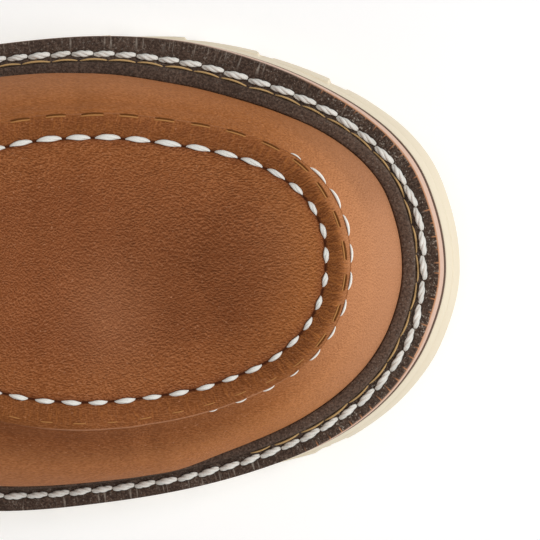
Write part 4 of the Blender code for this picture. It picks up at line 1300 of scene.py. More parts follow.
            # painted light on the rib's top: strongest at the toe, fading back along the sides, most on the
            # medial side
            shade = 1.0 - (0.85 if side is Side.MEDIAL else 0.5) * ease(run, 36.0, 80.0)
            rows = []
            for depth, height, cut, rib in self.profile(places, side):
                rows.append(form.leaned(places, side, depth, lambda x, h=height: form.upper_bottom(x) + h))
                near_edge = np.clip((long - depth) / 0.7, 0.0, 1.0) * (cut < 0.9)
                fields["cut"].append(cut)
                rim = 0.95 * ((cut > 0.1) & (cut < 0.9))
                fields["tick"].append(np.maximum(notch * near_edge, rim) * toe)
                fields["scuff"].append(ease(depth, 4.0, 1.5) * (0.35 + 0.65 * (1.0 - toe)))
                fields["rib"].append(rib * shade)
                fields["dust"].append((1.0 - 0.6 * rib) * (1.0 - 0.6 * ease(run, 45.0, 80.0)))
                fields["seam_u"].append(run)
                fields["seam_d"].append(depth)
            halves.append(np.array(rows))
        lines, count = halves[0].shape[:2]
        grid = np.concatenate([halves[0], halves[1][:, ::-1]], axis=1)
        points = grid.reshape(-1, 3)
        faces = grid_faces(lines + 1, 2 * count, True) % len(points)
        joined = {}
        for name, rows in fields.items():
            first, second = np.array(rows[:lines]), np.array(rows[lines:])
            joined[name] = np.concatenate([first, second[:, ::-1]], axis=1).reshape(-1)
        points, faces, joined = welded(points, faces, joined)
        item = self.shop.piece("storm_welt", points, faces, WeltLeather(), "welt_leather", joined, 50.0)
        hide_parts("welt")

    def line(self, depth_of: Callable, height: float) -> tuple[Array, Array]:
        """A closed path round the welt and the directions up from it.

        Args:
            depth_of: set-in from the outer edge, by places and side.
            height: height over the welt's foot.

        Returns:
            Points and unit vectors.
        """
        form = self.form
        path = form.ring(np.linspace(0.0, 1.0, 900), depth_of, lambda x: form.upper_bottom(x) + height)
        path = np.concatenate([path, path[:1]])
        return path, np.tile([0.0, 0.0, 1.0], (len(path), 1))

    def make_stitches(self) -> None:
        """Sews the white row near the edge and the gold row at the rib's foot, which the rib partly hides."""
        form, thick = self.form, self.form.welt_thick
        white = StitchShape(5.6, 1.54, 1.2, 3, 0.85, 0.46, 0.6, 8, 17, 0.0, 0.44)
        path, up = self.line(self.stitch_line, thick - 0.05)
        run = lengths(path)
        from_toe = np.minimum(run, run[-1] - run)
        medial = run < run[-1] / 2.0
        pitch = 5.95 - 0.7 * ease(from_toe, np.where(medial, 70.0, 20.0), np.where(medial, 90.0, 60.0))
        marks = np.concatenate([[0.0], np.cumsum(np.diff(run) * self.stitch_pitch / pitch[1:])])
        row = SewnRun(white, self.stitch_pitch, 0.4, 0.06, None, 0.08).build(path, up, True, marks)
        self.shop.sew("welt_stitches", [row], THREAD_WHITE, "welt_leather")
        gold = StitchShape(7.1, 0.54, 0.55, 1, 0.0, 0.35, 0.3, 6, 13, -0.40)
        path, up = self.line(lambda p, s: form.band(p, s, 0) - form.quarter_room(p) - 0.24, thick + 0.2)
        whole = lengths(path)[-1]

        def shown(marks: Array) -> Array:
            """Share of a gold stitch that the rib leaves in view."""
            left = whole - marks
            return 1.0 - ease(left, 58.0, 72.0) * ease(left, 170.0, 155.0)

        row = SewnRun(gold, 6.9, 1.7, 0.06).build(path, up, True, None, shown)
        self.shop.sew("rib_stitches", [row], THREAD_GOLD, "welt_leather")


@dataclass
class Upper:
    """Hollow leather upper: vamp wall and plug joined by the raised moc seam, quarters with a collar."""

    form: BootForm
    shop: Workshop
    ridge_rise: float = 2.1
    valley_deep: float = 0.5
    collar_step: float = 0.9
    collar_band: float = 16.0
    wall_rows: int = 20
    ridge_rows: int = 72
    plug_rows: int = 26
    vamp_columns: int = 370
    quarter_columns: int = 230
    quarter_rows: int = 80
    vamp_lining: int = 14
    quarter_lining: int = 24
    hole: float = 2.7
    hole_reach: float = 8.0
    ridge_out: float = 7.0
    ridge_in: float = 8.0
    eyelets: int = 7
    eyelet_from_edge: float = 9.5
    stitch_pitch: float = 6.75
    stitch_end: float = 143.0
    # run along the crest from the toe and the number of the stitch there, lateral and medial
    lateral_count: tuple = ((0.0, -0.48), (3.0, 0.0), (27.9, 4.0), (75.7, 11.0), (140.0, 20.4))
    medial_count: tuple = ((0.0, -0.48), (3.3, -1.0), (28.9, -5.0), (74.1, -11.0), (140.0, -19.8))
    # number of a stitch, distance from crest to valley row and to fold edge, and the shares of the outer and
    # the inner stitch that show
    rows_at: tuple = (
        (-12.0, 4.6, 0.6, 0.0, 1.04),
        (-6.0, 4.6, 0.8, 0.0, 1.04),
        (-5.0, 4.4, 1.3, 0.6, 1.02),
        (-4.0, 3.75, 1.9, 1.15, 0.80),
        (-3.0, 3.15, 2.4, 1.2, 0.78),
        (-2.0, 3.0, 2.25, 1.1, 0.78),
        (-1.0, 3.5, 1.9, 1.05, 0.76),
        (0.0, 3.75, 1.55, 1.0, 0.73),
        (2.0, 4.0, 1.4, 0.9, 0.86),
        (3.0, 4.0, 1.5, 0.8, 0.92),
        (4.0, 3.75, 1.65, 0.6, 0.98),
        (5.0, 3.5, 1.8, 0.65, 0.94),
        (7.0, 3.4, 1.9, 0.45, 0.94),
        (8.0, 3.7, 1.9, 0.0, 0.96),
        (10.0, 4.2, 1.8, 0.0, 1.0),
        (12.0, 4.3, 1.8, 0.0, 1.0),
    )
    # from_toe, side offset, reach along and across, strength of the plug's darker and hazier patches
    dark_patches: tuple = ((60.0, 3.0, 17.0, 14.0, 0.20), (50.0, -12.5, 6.0, 6.0, 0.10),
                           (64.0, -13.0, 5.0, 9.0, 0.08))
    hazy_patches: tuple = ((79.0, -11.0, 10.0, 13.0, 0.14), (38.0, 8.0, 8.0, 12.0, 0.06))

    def vamp_places(self, side: Side, count: int) -> Array:
        """Places along a side evenly spaced along the moc seam, from toe to quarters."""
        fine = np.linspace(0.0, self.form.front, 1200)
        run = lengths(self.form.skin(fine, side, self.form.seam_place(fine, side)))
        return np.interp(np.linspace(0.0, run[-1], count), run, fine)

    def row_at(self, marks: Array, column: int) -> Array:
        """A value of the seam's rows, smooth between the stitches it is given for."""
        rows = np.array(self.rows_at)
        return flow(marks / self.stitch_pitch, rows[:, 0], rows[:, column], steady=True)

    def ridge(self, across: Array, place: Array, marks: Array) -> Array:
        """Height of the moc seam over the skin.

        Args:
            across: distance from the crest, positive towards the plug.
            place: places along the side.
            marks: distance along the crest as the stitches count it.

        Returns:
            Heights; they fade out just before the quarters.
        """
        valley, edge = self.row_at(marks, 1), self.row_at(marks, 2)
        fade = 1.0 - self.form.between(place, 132.0, self.form.quarter_station)
        step = ease(across, -edge - 0.45, -edge + 0.15)
        body = ease(across / valley, 1.0, 0.08) * (0.84 * ease(across, -6.8, -0.4) + 0.16 * step)
        dip = self.valley_deep * np.exp(-(((across - valley) / 0.8) ** 2))
        return (self.ridge_rise * body - dip) * fade

    def creases(self, points: Array) -> Array:
        """Soft troughs across the vamp, at listed places.

        Args:
            points: skin points in flat millimetres.

        Returns:
            Heights to add.
        """
        x, y = -points[..., 0], points[..., 1]
        height = np.zeros(x.shape)
        for back, lean, deep, wide, reach in ((76.0, 0.05, 0.35, 2.6, 24.0), (88.0, -0.04, 0.45, 3.2, 28.0),
                                              (98.0, 0.03, 0.4, 3.0, 26.0)):
            line = x - back - lean * y - 0.004 * y**2
            height -= deep * np.exp(-((line / wide) ** 2)) * np.exp(-((y / reach) ** 4))
        for back, side, deep, wide, reach in ((70.0, -42.0, 0.55, 2.4, 5.5), (79.0, -40.0, 0.35, 3.0, 6.0),
                                              (88.0, 38.0, 0.45, 3.0, 6.5)):
            height -= deep * np.exp(-(((x - back) / wide) ** 2) - ((y - side) / reach) ** 2)
        return height

    def lined(self, place: Array, side: Side, outer: Array, tone: dict[str, Array],
              rows: int) -> tuple[Array, dict[str, Array]]:
        """One side of a leather wall: its outer face, its lining and the outer face's foot again.

        Args:
            place: places along the side.
            side: which side.
            outer: rows of points on the outer face, from the foot up, in flat millimetres.
            tone: the leather's fields on the outer face.
            rows: rows of points on the lining.

        Returns:
            Points in the boot's frame, and the leather's fields at them.
        """
        t = np.broadcast_to(np.linspace(1.0, 0.0, rows)[:, None], (rows, len(place)))
        inner = self.form.skin(place, side, t) - self.form.normal(place, side, t) * self.form.wall
        fields = {}
        for name in LEATHER_FIELDS:
            lining = np.full((rows + 1, len(place)), float(name == "inside"))
            fields[name] = np.concatenate([tone[name], lining])
        return self.form.placed(np.concatenate([outer, inner, outer[:1]])), fields

    def side_by_side(self, halves: list, first: slice, second: slice) -> tuple[Array, dict[str, Array]]:
        """Joins both sides of a leather wall.

        Args:
            halves: points and fields of the medial and of the lateral side.
            first: the medial side's columns in order.
            second: the lateral side's columns in order.

        Returns:
            The grid of points, and the fields with a value for each point.
        """
        (grid, fields), (other, others) = halves
        joined = {name: np.concatenate([values[:, first], others[name][:, second]], axis=1).reshape(-1)
                  for name, values in fields.items()}
        return np.concatenate([grid[:, first], other[:, second]], axis=1), joined

    def make_vamp(self) -> None:
        """Builds the vamp: outer wall, moc seam and plug, with its inner face."""
        form = self.form
        halves = []
        for side in Side:
            place = self.vamp_places(side, self.vamp_columns)
            seam = form.seam_place(place, side)
            speed = form.speed(place, side, seam)
            run = lengths(form.skin(place, side, seam))
            low = (seam - self.ridge_out / speed) * np.linspace(0.0, 1.0, self.wall_rows)[:, None]
            across = np.linspace(-self.ridge_out, self.ridge_in, self.ridge_rows)[1:, None]
            middle = seam + across / speed
            share = np.linspace(0.0, 1.0, self.plug_rows)[1:, None]
            high = middle[-1] + (1.0 - middle[-1]) * share
            t = np.concatenate([low, middle, high])
            reach = (t - seam) * speed
            skin = form.skin(place, side, t)
            marks = self.marks(run, side)
            rise = self.ridge(reach, place, marks) + self.creases(skin)
            outer = skin + form.normal(place, side, t) * rise[..., None]
            tone = self.vamp_tone(skin, reach, place, run, marks, side)
            halves.append(self.lined(place, side, outer, tone, self.vamp_lining))
        grid, fields = self.side_by_side(halves, slice(None, None, -1), slice(1, None))
        rows, count = grid.shape[:2]
        faces = grid_faces(rows, count)
        closing = np.arange(count - 1) + count * (rows - self.vamp_lining - 2)
        faces = faces[~np.isin(faces[:, 0], closing)]
        points, faces, fields = welded(grid.reshape(-1, 3), faces, fields)
        item = self.shop.piece("vamp_and_plug", points, faces, UpperLeather(), "upper_leather", fields, 70.0)
        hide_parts("upper")

    def patches(self, table: tuple, skin: Array, plug: Array) -> Array:
        """Soft round patches on the plug, added up.

        Args:
            table: from_toe, side offset, reach along and across, and strength of each patch.
            skin: skin points in flat millimetres.
            plug: 1 on the plug, 0 elsewhere.

        Returns:
            The patches' strength at each point.
        """
        total = np.zeros_like(plug)
        for at, offset, along, across, strength in table:
            x, y = (-skin[..., 0] - at) / along, (skin[..., 1] - offset) / across
            total = total + np.exp(-(x**2) - y**2) * strength * plug
        return total

    def vamp_tone(self, skin: Array, reach: Array, place: Array, run: Array, marks: Array,
                  side: Side) -> dict[str, Array]:
        """Where the vamp's leather is pale, dark or gathered, and where light and shade are painted on it.

        Args:
            skin: skin points in flat millimetres.
            reach: distance from the seam's crest.
            place: places along the side.
            run: distance along the seam.
            marks: the same distance as the stitches count it.
            side: which side.

        Returns:
            The fields that the leather reads.
        """
        form = self.form
        back = -skin[..., 0]
        toe = ease(back, 52.0, 10.0)
        medial = side is Side.MEDIAL
        valley, edge = self.row_at(marks, 1), self.row_at(marks, 2)
        outer = ease(reach, 1.4, -1.4)
        plug = ease(reach, valley, valley + 3.0)
        low = ease(reach, -edge - 4.0, -edge - 12.0)
        side_pale = 0.05 + 0.10 * ease(back, 45.0, 75.0) if medial else 0.10 * ease(back, 20.0, 50.0)
        pale = outer * (0.72 * ease(back, 46.0, 6.0) + side_pale * low)
        pale = pale + self.patches(self.hazy_patches, skin, plug)
        # painted light: the wall lighter on the medial side, towards the lateral toe and low over the welt;
        # the plug lighter at the toe and near the seam
        far = 0.38 + 0.10 * low if medial else 0.02 + 0.22 * ease(back, 84.0, 45.0) + 0.36 * low
        glow = outer * (0.12 + far) + plug * (0.54 * toe + 0.20 * ease(reach, valley + 14.0, valley + 2.0))
        # painted highlight on the seam's roll at the toe
        glow = glow + 0.55 * toe * ease(reach, valley + 0.5, valley - 1.0)
        dark = self.patches(self.dark_patches, skin, plug)
        # painted shadow along the seam's valley, darkest in the gaps between the stitches
        step = (marks / self.stitch_pitch + 0.5) % 1.0 - 0.5
        shown = 1.0 - form.between(place, self.stitch_end - 4.0, self.stitch_end)
        gap = (0.45 + 0.50 * ease(abs(step), 0.28, 0.40)) * shown
        # painted shade, with a darker tone, on the ramp next to the valley stitches
        dark = dark + 0.07 * ease(reach, 1.0, valley - 0.3) * ease(reach, valley + 0.8, valley)
        # painted shade low on the medial wall and on the toe wall, where they turn down to the rib
        dark = dark + 0.16 * ease(reach, -8.0, -12.5) * ease(marks, -52.0, -34.0) * ease(marks, -12.0, -20.0)
        dark = dark + 0.07 * ease(reach, -9.0, -14.0) * toe
        # painted shade on the lateral wall under the fold edge
        under = ease(-reach, edge - 0.3, edge + 0.5) * ease(-reach, edge + 16.0, edge + 8.0)
        dark = dark + (0.0 if medial else 0.28) * (under * ease(back, 30.0, 62.0))
        gather = (0.42 + 0.85 * toe) * ease(reach, valley + 0.3, valley - 0.8) * ease(reach, -1.4, 0.4)
        # darker tone and painted shade on the rolled band, weak at the toe
        folded = (0.85 - 0.72 * toe) * ease(reach, valley + 0.6, valley - 0.4) * shown
        folded = folded * (0.4 + 0.6 * ease(reach, -0.5, valley * 0.7) if medial else 1.0)
        rim = (0.15 if medial else 0.7) * ease(abs(marks), 96.0, 80.0) * ease(abs(marks + 6.0), 12.0, 40.0)
        # painted shadow along the fold edge round the toe
        rim = rim - 0.9 * ease(abs(marks + 6.0), 44.0, 26.0)
        ones = np.ones_like(reach)
        fields = {"pale": pale, "glow": glow, "dark": dark, "gather": gather, "inside": 0.0,
                  "edge": reach + edge, "folded": folded, "rim": rim, "row": reach - valley, "gap": gap,
                  "seam_u": run, "seam_d": reach}
        return {name: value * ones for name, value in fields.items()}

    def eyelet_spots(self, side: Side) -> tuple[Array, Array]:
        """Centres of the eyelets on the quarter's outer face, and the directions out of it."""
        form = self.form
        place = form.throat_places(self.eyelets)
        t = form.from_top(place, side, self.eyelet_from_edge)
        return form.raised(place, side, t, form.quarter_step)

    def collar(self, place: Array) -> Array:
        """0 along the eyestay, 1 along the collar."""
        return self.form.between(place, 203.0, 211.0)

    def quarter_rise(self, place: Array, from_top: Array, from_front: Array) -> Array:
        """Thickness of the quarters over the skin, rounded at their edges, with the collar band.

        Args:
            place: places along the side.
            from_top: distance down from the top edge.
            from_front: distance back from the front edge.

        Returns:
            Heights over the skin.
        """
        rise = self.form.quarter_step * (0.35 + 0.65 * ease(from_front, 0.0, 0.8))
        band = ease(from_top, self.collar_band + 0.5, self.collar_band - 0.5)
        rise = rise + self.collar_step * self.collar(place) * band
        return rise - 0.55 * ease(from_top, 0.9, 0.0)

    def make_quarters(self) -> None:
        """Builds both quarters as one hollow piece, with holes at the eyelets."""
        form = self.form
        start = float(form.station(form.quarter_station - 0.9))
        half = self.quarter_rows // 2
        base = np.concatenate([np.linspace(0.0, 0.70, half)[:-1], np.linspace(0.70, 1.0, half)])
        halves = []
        for side in Side:
            place = self.quarter_places(start)
            t = np.broadcast_to(base[:, None], (len(base), len(place)))
            skin = form.skin(place, side, t)
            gaps = np.linalg.norm(np.diff(skin, axis=0), axis=-1)
            from_top = np.concatenate([np.cumsum(gaps[::-1], axis=0)[::-1], np.zeros((1, len(place)))])
            steps = np.linalg.norm(np.diff(skin, axis=1), axis=-1)
            from_front = np.concatenate([np.zeros((len(base), 1)), np.cumsum(steps, axis=1)], axis=1)
            rise = self.quarter_rise(place, from_top, from_front)
            outer = skin + form.normal(place, side, t) * rise[..., None]
            pale = 0.10 + 0.30 * ease(t, 0.16, 0.0) + 0.25 * np.exp(-((from_top / 1.2) ** 2))
            pale = pale + 0.2 * np.exp(-((from_front / 1.0) ** 2)) + 0.12 * ease(place, 0.75, 1.0)
            dark = 0.5 * np.exp(-(((from_top - self.collar_band - 0.7) / 0.5) ** 2)) * ease(place, 0.66, 0.70)
            tone = dict.fromkeys(LEATHER_FIELDS, 0.0 * t)
            tone.update(glow=pale, dark=dark, seam_u=from_front, seam_d=from_top)
            halves.append(self.lined(place, side, outer, tone, self.quarter_lining))
        grid, fields = self.side_by_side(halves, slice(None), slice(-2, None, -1))
        rows, count = grid.shape[:2]
        points = grid.reshape(-1, 3)
        faces = np.concatenate([grid_faces(rows, count), self.front_edge(rows, count)])
        faces = self.with_eyelet_holes(points, faces)
        points, faces, fields = welded(points, faces, fields)
        item = self.shop.piece(
            "quarters_and_collar", points, faces, UpperLeather(), "upper_leather", fields, 60.0)
        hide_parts("upper")

    def quarter_places(self, start: float) -> Array:
        """Places along a quarter, closer together at its front edge."""
        form = self.form
        first = start + np.array([0.0, 0.0006, 0.0014, 0.0024])
        marks = np.concatenate([first, [form.front, form.front + 2e-4]])
        return np.unique(np.concatenate([marks, np.linspace(form.front + 0.0012, 1.0, self.quarter_columns)]))

    def front_edge(self, rows: int, count: int) -> Array:
        """Quads that close the wall at the quarters' two front edges.

        Args:
            rows: rows of the grid, outer face first.
            count: points in a row.

        Returns:
            The quads.
        """
        outer_rows = self.quarter_rows - 1
        inner_rows = rows - outer_rows - 1
        quads = []
        for column in (0, count - 1):
            outer = np.arange(outer_rows) * count + column
            share = np.linspace(0.0, 1.0, outer_rows)
            inner = outer_rows + np.round((1.0 - share) * (inner_rows - 1)).astype(int)
            inner = inner * count + column
            quads.append(np.stack([outer[:-1], outer[1:], inner[1:], inner[:-1]], axis=-1))
        return np.concatenate(quads)

    def with_eyelet_holes(self, points: Array, faces: Array) -> Array:
        """Faces left when those inside each eyelet's barrel are taken out."""
        middle = points[faces].mean(axis=1)
        keep = np.ones(len(faces), dtype=bool)
        for side in Side:
            for spot, out in zip(*self.eyelet_spots(side)):
                away = middle - spot
                depth = away @ out
                radius = np.linalg.norm(away - depth[:, None] * out, axis=1)
                keep &= ~((radius < self.hole) & (abs(depth) < self.hole_reach))
        return faces[keep]

    def marks(self, run: Array, side: Side) -> Array:
        """Distance along the crest as the stitches count it: one pitch each, negative on the medial side."""
        table = np.array(self.lateral_count if side is Side.LATERAL else self.medial_count)
        return np.interp(run, table[:, 0], table[:, 1]) * self.stitch_pitch

    def seam_path(self, side: Side, across_of: Callable, lift: float) -> tuple[Array, Array, Array]:
        """A path along the moc seam, as far as its stitches go.

        Args:
            side: which side.
            across_of: distance from the crest by mark, positive towards the plug.
            lift: height over the leather.

        Returns:
            Points, directions out and the stitches' marks.
        """
        form = self.form
        place = self.vamp_places(side, 900)
        seam = form.seam_place(place, side)
        marks = self.marks(lengths(form.skin(place, side, seam)), side)
        across = across_of(marks)
        t = seam + across / form.speed(place, side, seam)
        skin = form.skin(place, side, t)
        normal = form.normal(place, side, t)
        rise = self.ridge(across, place, marks) + self.creases(skin) + lift
        kept = place <= float(form.station(self.stitch_end))
        return form.placed(skin + normal * rise[:, None])[kept], normal[kept], marks[kept]

    def round_seam(self, run: SewnRun, across_of: Callable, lift: float, strength: Callable | None = None,
                   stretch: Callable | None = None) -> tuple[Array, Array, Array]:
        """Stitches along the moc seam from one side round the toe to the other.

        Args:
            run: the stitches.
            across_of: distance from the crest by mark, positive towards the plug.
            lift: height over the leather.
            strength: share of its full size that a stitch has, by its mark.
            stretch: share of its length alone, by its mark.

        Returns:
            Points, quads and hollow field.
        """
        medial, lateral = (self.seam_path(side, across_of, lift) for side in Side)
        path, up, marks = (np.concatenate([m[::-1], l[1:]]) for m, l in zip(medial, lateral))
        return run.build(path, up, False, marks, strength, stretch)

    def make_seam_stitches(self) -> None:
        """Sews the fat row in the valley, the thin outer row, and the tan row in slits along the crest, with
        dark strands in the slits that paint their shadow.
        """
        pitch = self.stitch_pitch
        shape = StitchShape(5.75, 1.46, 1.12, 3, 0.4, 0.8, 0.35, 9, 17, 0.0, 0.38)
        fat = SewnRun(shape, pitch, 0.9, 0.06, 0.0)
        inner = self.round_seam(
            fat, lambda m: self.row_at(m, 1), 0.12, lambda m: 1.0 - 0.10 * ease(m, 0.0, 20.0),
            lambda m: self.row_at(m, 4))
        thin = SewnRun(StitchShape(4.6, 0.60, 0.6, 1, 0.0, 0.6, 0.35, 7, 13, 0.16), pitch, 2.2, 0.04, 0.0)
        outer = self.round_seam(thin, lambda m: -self.row_at(m, 2), 0.10, lambda m: self.row_at(m, 3))
        slit, strip = (SewnRun(StitchShape(long, wide, 0.3, 1, 0.0, 0.3, 0.25, 6, 11), 7.9, 3.1, 0.05, 0.4)
                       for long, wide in ((5.2, 0.52), (5.4, 0.46)))
        # painted shadow in the crest's slits
        slits = self.round_seam(
            slit, lambda m: np.full(m.shape, -0.42), -0.03, lambda m: 1.0 - ease(m, 12.0, 30.0))
        crest = self.round_seam(
            strip, lambda m: np.full(m.shape, 0.05), -0.02, lambda m: 1.0 - 0.35 * ease(m, 12.0, 30.0))
        for name, row, kind in (
                ("moc_seam_stitches", inner, THREAD_BRIGHT), ("moc_edge_stitches", outer, THREAD_CREAM),
                ("moc_crest_slits", slits, SLIT_SHADOW), ("moc_crest_stitches", crest, THREAD_TAN)):
            self.shop.sew(name, [row], kind, "upper_leather")

    def edge_path(self, side: Side, distance: float, first: float, last: float) -> tuple[Array, Array]:
        """A path on the quarter at a distance down from its top edge, between two stations."""
        form = self.form
        place = np.linspace(float(form.station(first)), float(form.station(last)), 500)
        t = form.from_top(place, side, distance)
        rise = form.quarter_step + self.collar_step * self.collar(place) * (distance < self.collar_band)
        return form.raised(place, side, t, rise[:, None])

    def front_path(self, side: Side, distance: float) -> tuple[Array, Array]:
        """A path up the quarter at a distance behind its front edge."""
        form = self.form
        t = np.linspace(0.10, 0.93, 300)
        edge = np.full(t.shape, form.front + 2e-3)
        ahead = form.skin(edge + 1e-3, side, t) - form.skin(edge, side, t)
        place = form.front + distance / (np.linalg.norm(ahead, axis=-1) / 1e-3)
        return form.raised(place, side, t, form.quarter_step)

    def back_path(self, side: Side, distance: float) -> tuple[Array, Array]:
        """A path up the heel at a distance from the back seam."""
        form = self.form
        t = np.linspace(0.12, 0.88, 300)
        edge = np.full(t.shape, 0.99)
        ahead = form.skin(edge, side, t) - form.skin(edge - 1e-3, side, t)
        place = 1.0 - distance / (np.linalg.norm(ahead, axis=-1) / 1e-3)
        return form.raised(place, side, t, form.quarter_step)

    def make_quarter_stitches(self) -> None:
        """Sews the quarters: front edge, eyestay, collar and back seam."""
        small = SewnRun(StitchShape(2.7, 0.62, 0.55, 1, 0.0, 0.45, 0.3, 6, 7), 3.3, 0.5, 0.06)
        runs = []
        for side in Side:
            for distance in (2.4, 5.2):
                runs.append(small.build(*self.front_path(side, distance)))
            runs.append(small.build(*self.edge_path(side, 2.8, 155.0, 297.5)))
            runs.append(small.build(*self.edge_path(side, 18.5, 157.5, 201.0)))
            runs.append(small.build(*self.edge_path(side, self.collar_band - 2.0, 210.0, 297.5)))
            runs.append(small.build(*self.back_path(side, 3.0)))
        self.shop.sew("quarter_stitches", runs, THREAD_WHITE, "upper_leather")


@dataclass
class Tongue:
    """Leather tongue that follows the inside of the vamp and eyestays."""

    form: BootForm
    shop: Workshop
    thick: float = 2.4
    seat: float = 0.9
    clear: float = 2.6
    above: float = 12.0
    rows: int = 90
    wing: int = 26

    def sheet(self, below: float) -> Array:
        """One face of the tongue.

        Args:
            below: distance under the tongue's outer face.

        Returns:
            Rows of points across the tongue, from under the vamp to the top.
        """
        form = self.form
        marks = form.station(np.array([112.0, 131.0, 150.0, 151.0, 153.5, 157.0, 200.0]))
        place = np.interp(np.linspace(0.0, 6.0, self.rows), np.arange(7.0), marks)
        closed = place <= form.front
        open_up = form.between(place, 140.0, 157.0)
        narrow = 1.0 - 0.25 * form.between(place, 190.0, 200.0)
        depth = (form.wall + self.seat + (self.clear - self.seat) * open_up + below)[:, None]
        halves = []
        for side in Side:
            strip = []
            for distance in np.linspace(17.0, 0.4, self.wing):
                t = form.from_top(place, side, distance * narrow)
                strip.append(form.raised(place, side, t, -depth)[0])
            halves.append(np.array(strip))
        first, last = halves[0][-1], halves[1][-1]
        bow = np.where(closed, 0.0, 1.0)[:, None] * np.array([0.25, 0.0, 0.97])
        middle = []
        for share in (0.2, 0.35, 0.5, 0.65, 0.8):
            middle.append(first * (1.0 - share) + last * share + bow * 4.0 * share * (1.0 - share) * 0.8)
        face = np.concatenate([halves[0], np.array(middle), halves[1][::-1]])
        face = np.transpose(face, (1, 0, 2))
        rise = unit(face[-1] - face[-6])
        top = np.array([-0.15, 0.0, 1.0]) * self.above + rise * 4.0
        extra = [face[-1] + top * share for share in np.linspace(0.0, 1.0, 9)[1:]]
        return np.concatenate([face, np.array(extra)])

    def make(self) -> None:
        """Builds the tongue."""
        outer, inner = self.sheet(0.0), self.sheet(self.thick)
        rows, count = outer.shape[:2]
        ring = np.concatenate([outer, inner[:, ::-1]], axis=1)
        points = ring.reshape(-1, 3)
        across = np.arange(count - 1)
        cap = np.stack([across, across + 1, 2 * count - 2 - across, 2 * count - 1 - across], axis=-1)
        top = (cap + (rows - 1) * 2 * count)[:, ::-1]
        faces = np.concatenate([grid_faces(rows, 2 * count, True), cap, top])
        from_side = np.minimum(np.arange(count), np.arange(count)[::-1]) / count
        pale = np.tile(np.concatenate([from_side, from_side[::-1]]) * 0.3, rows)
        zero = np.zeros(len(points))
        inside = np.tile(np.repeat([0.0, 1.0], count), rows)
        fields = dict.fromkeys(LEATHER_FIELDS, zero)
        fields.update(glow=pale, inside=inside)
        item = self.shop.piece("tongue_pad", points, faces, UpperLeather(), "upper_leather", fields, 60.0)
        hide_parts("tongue")


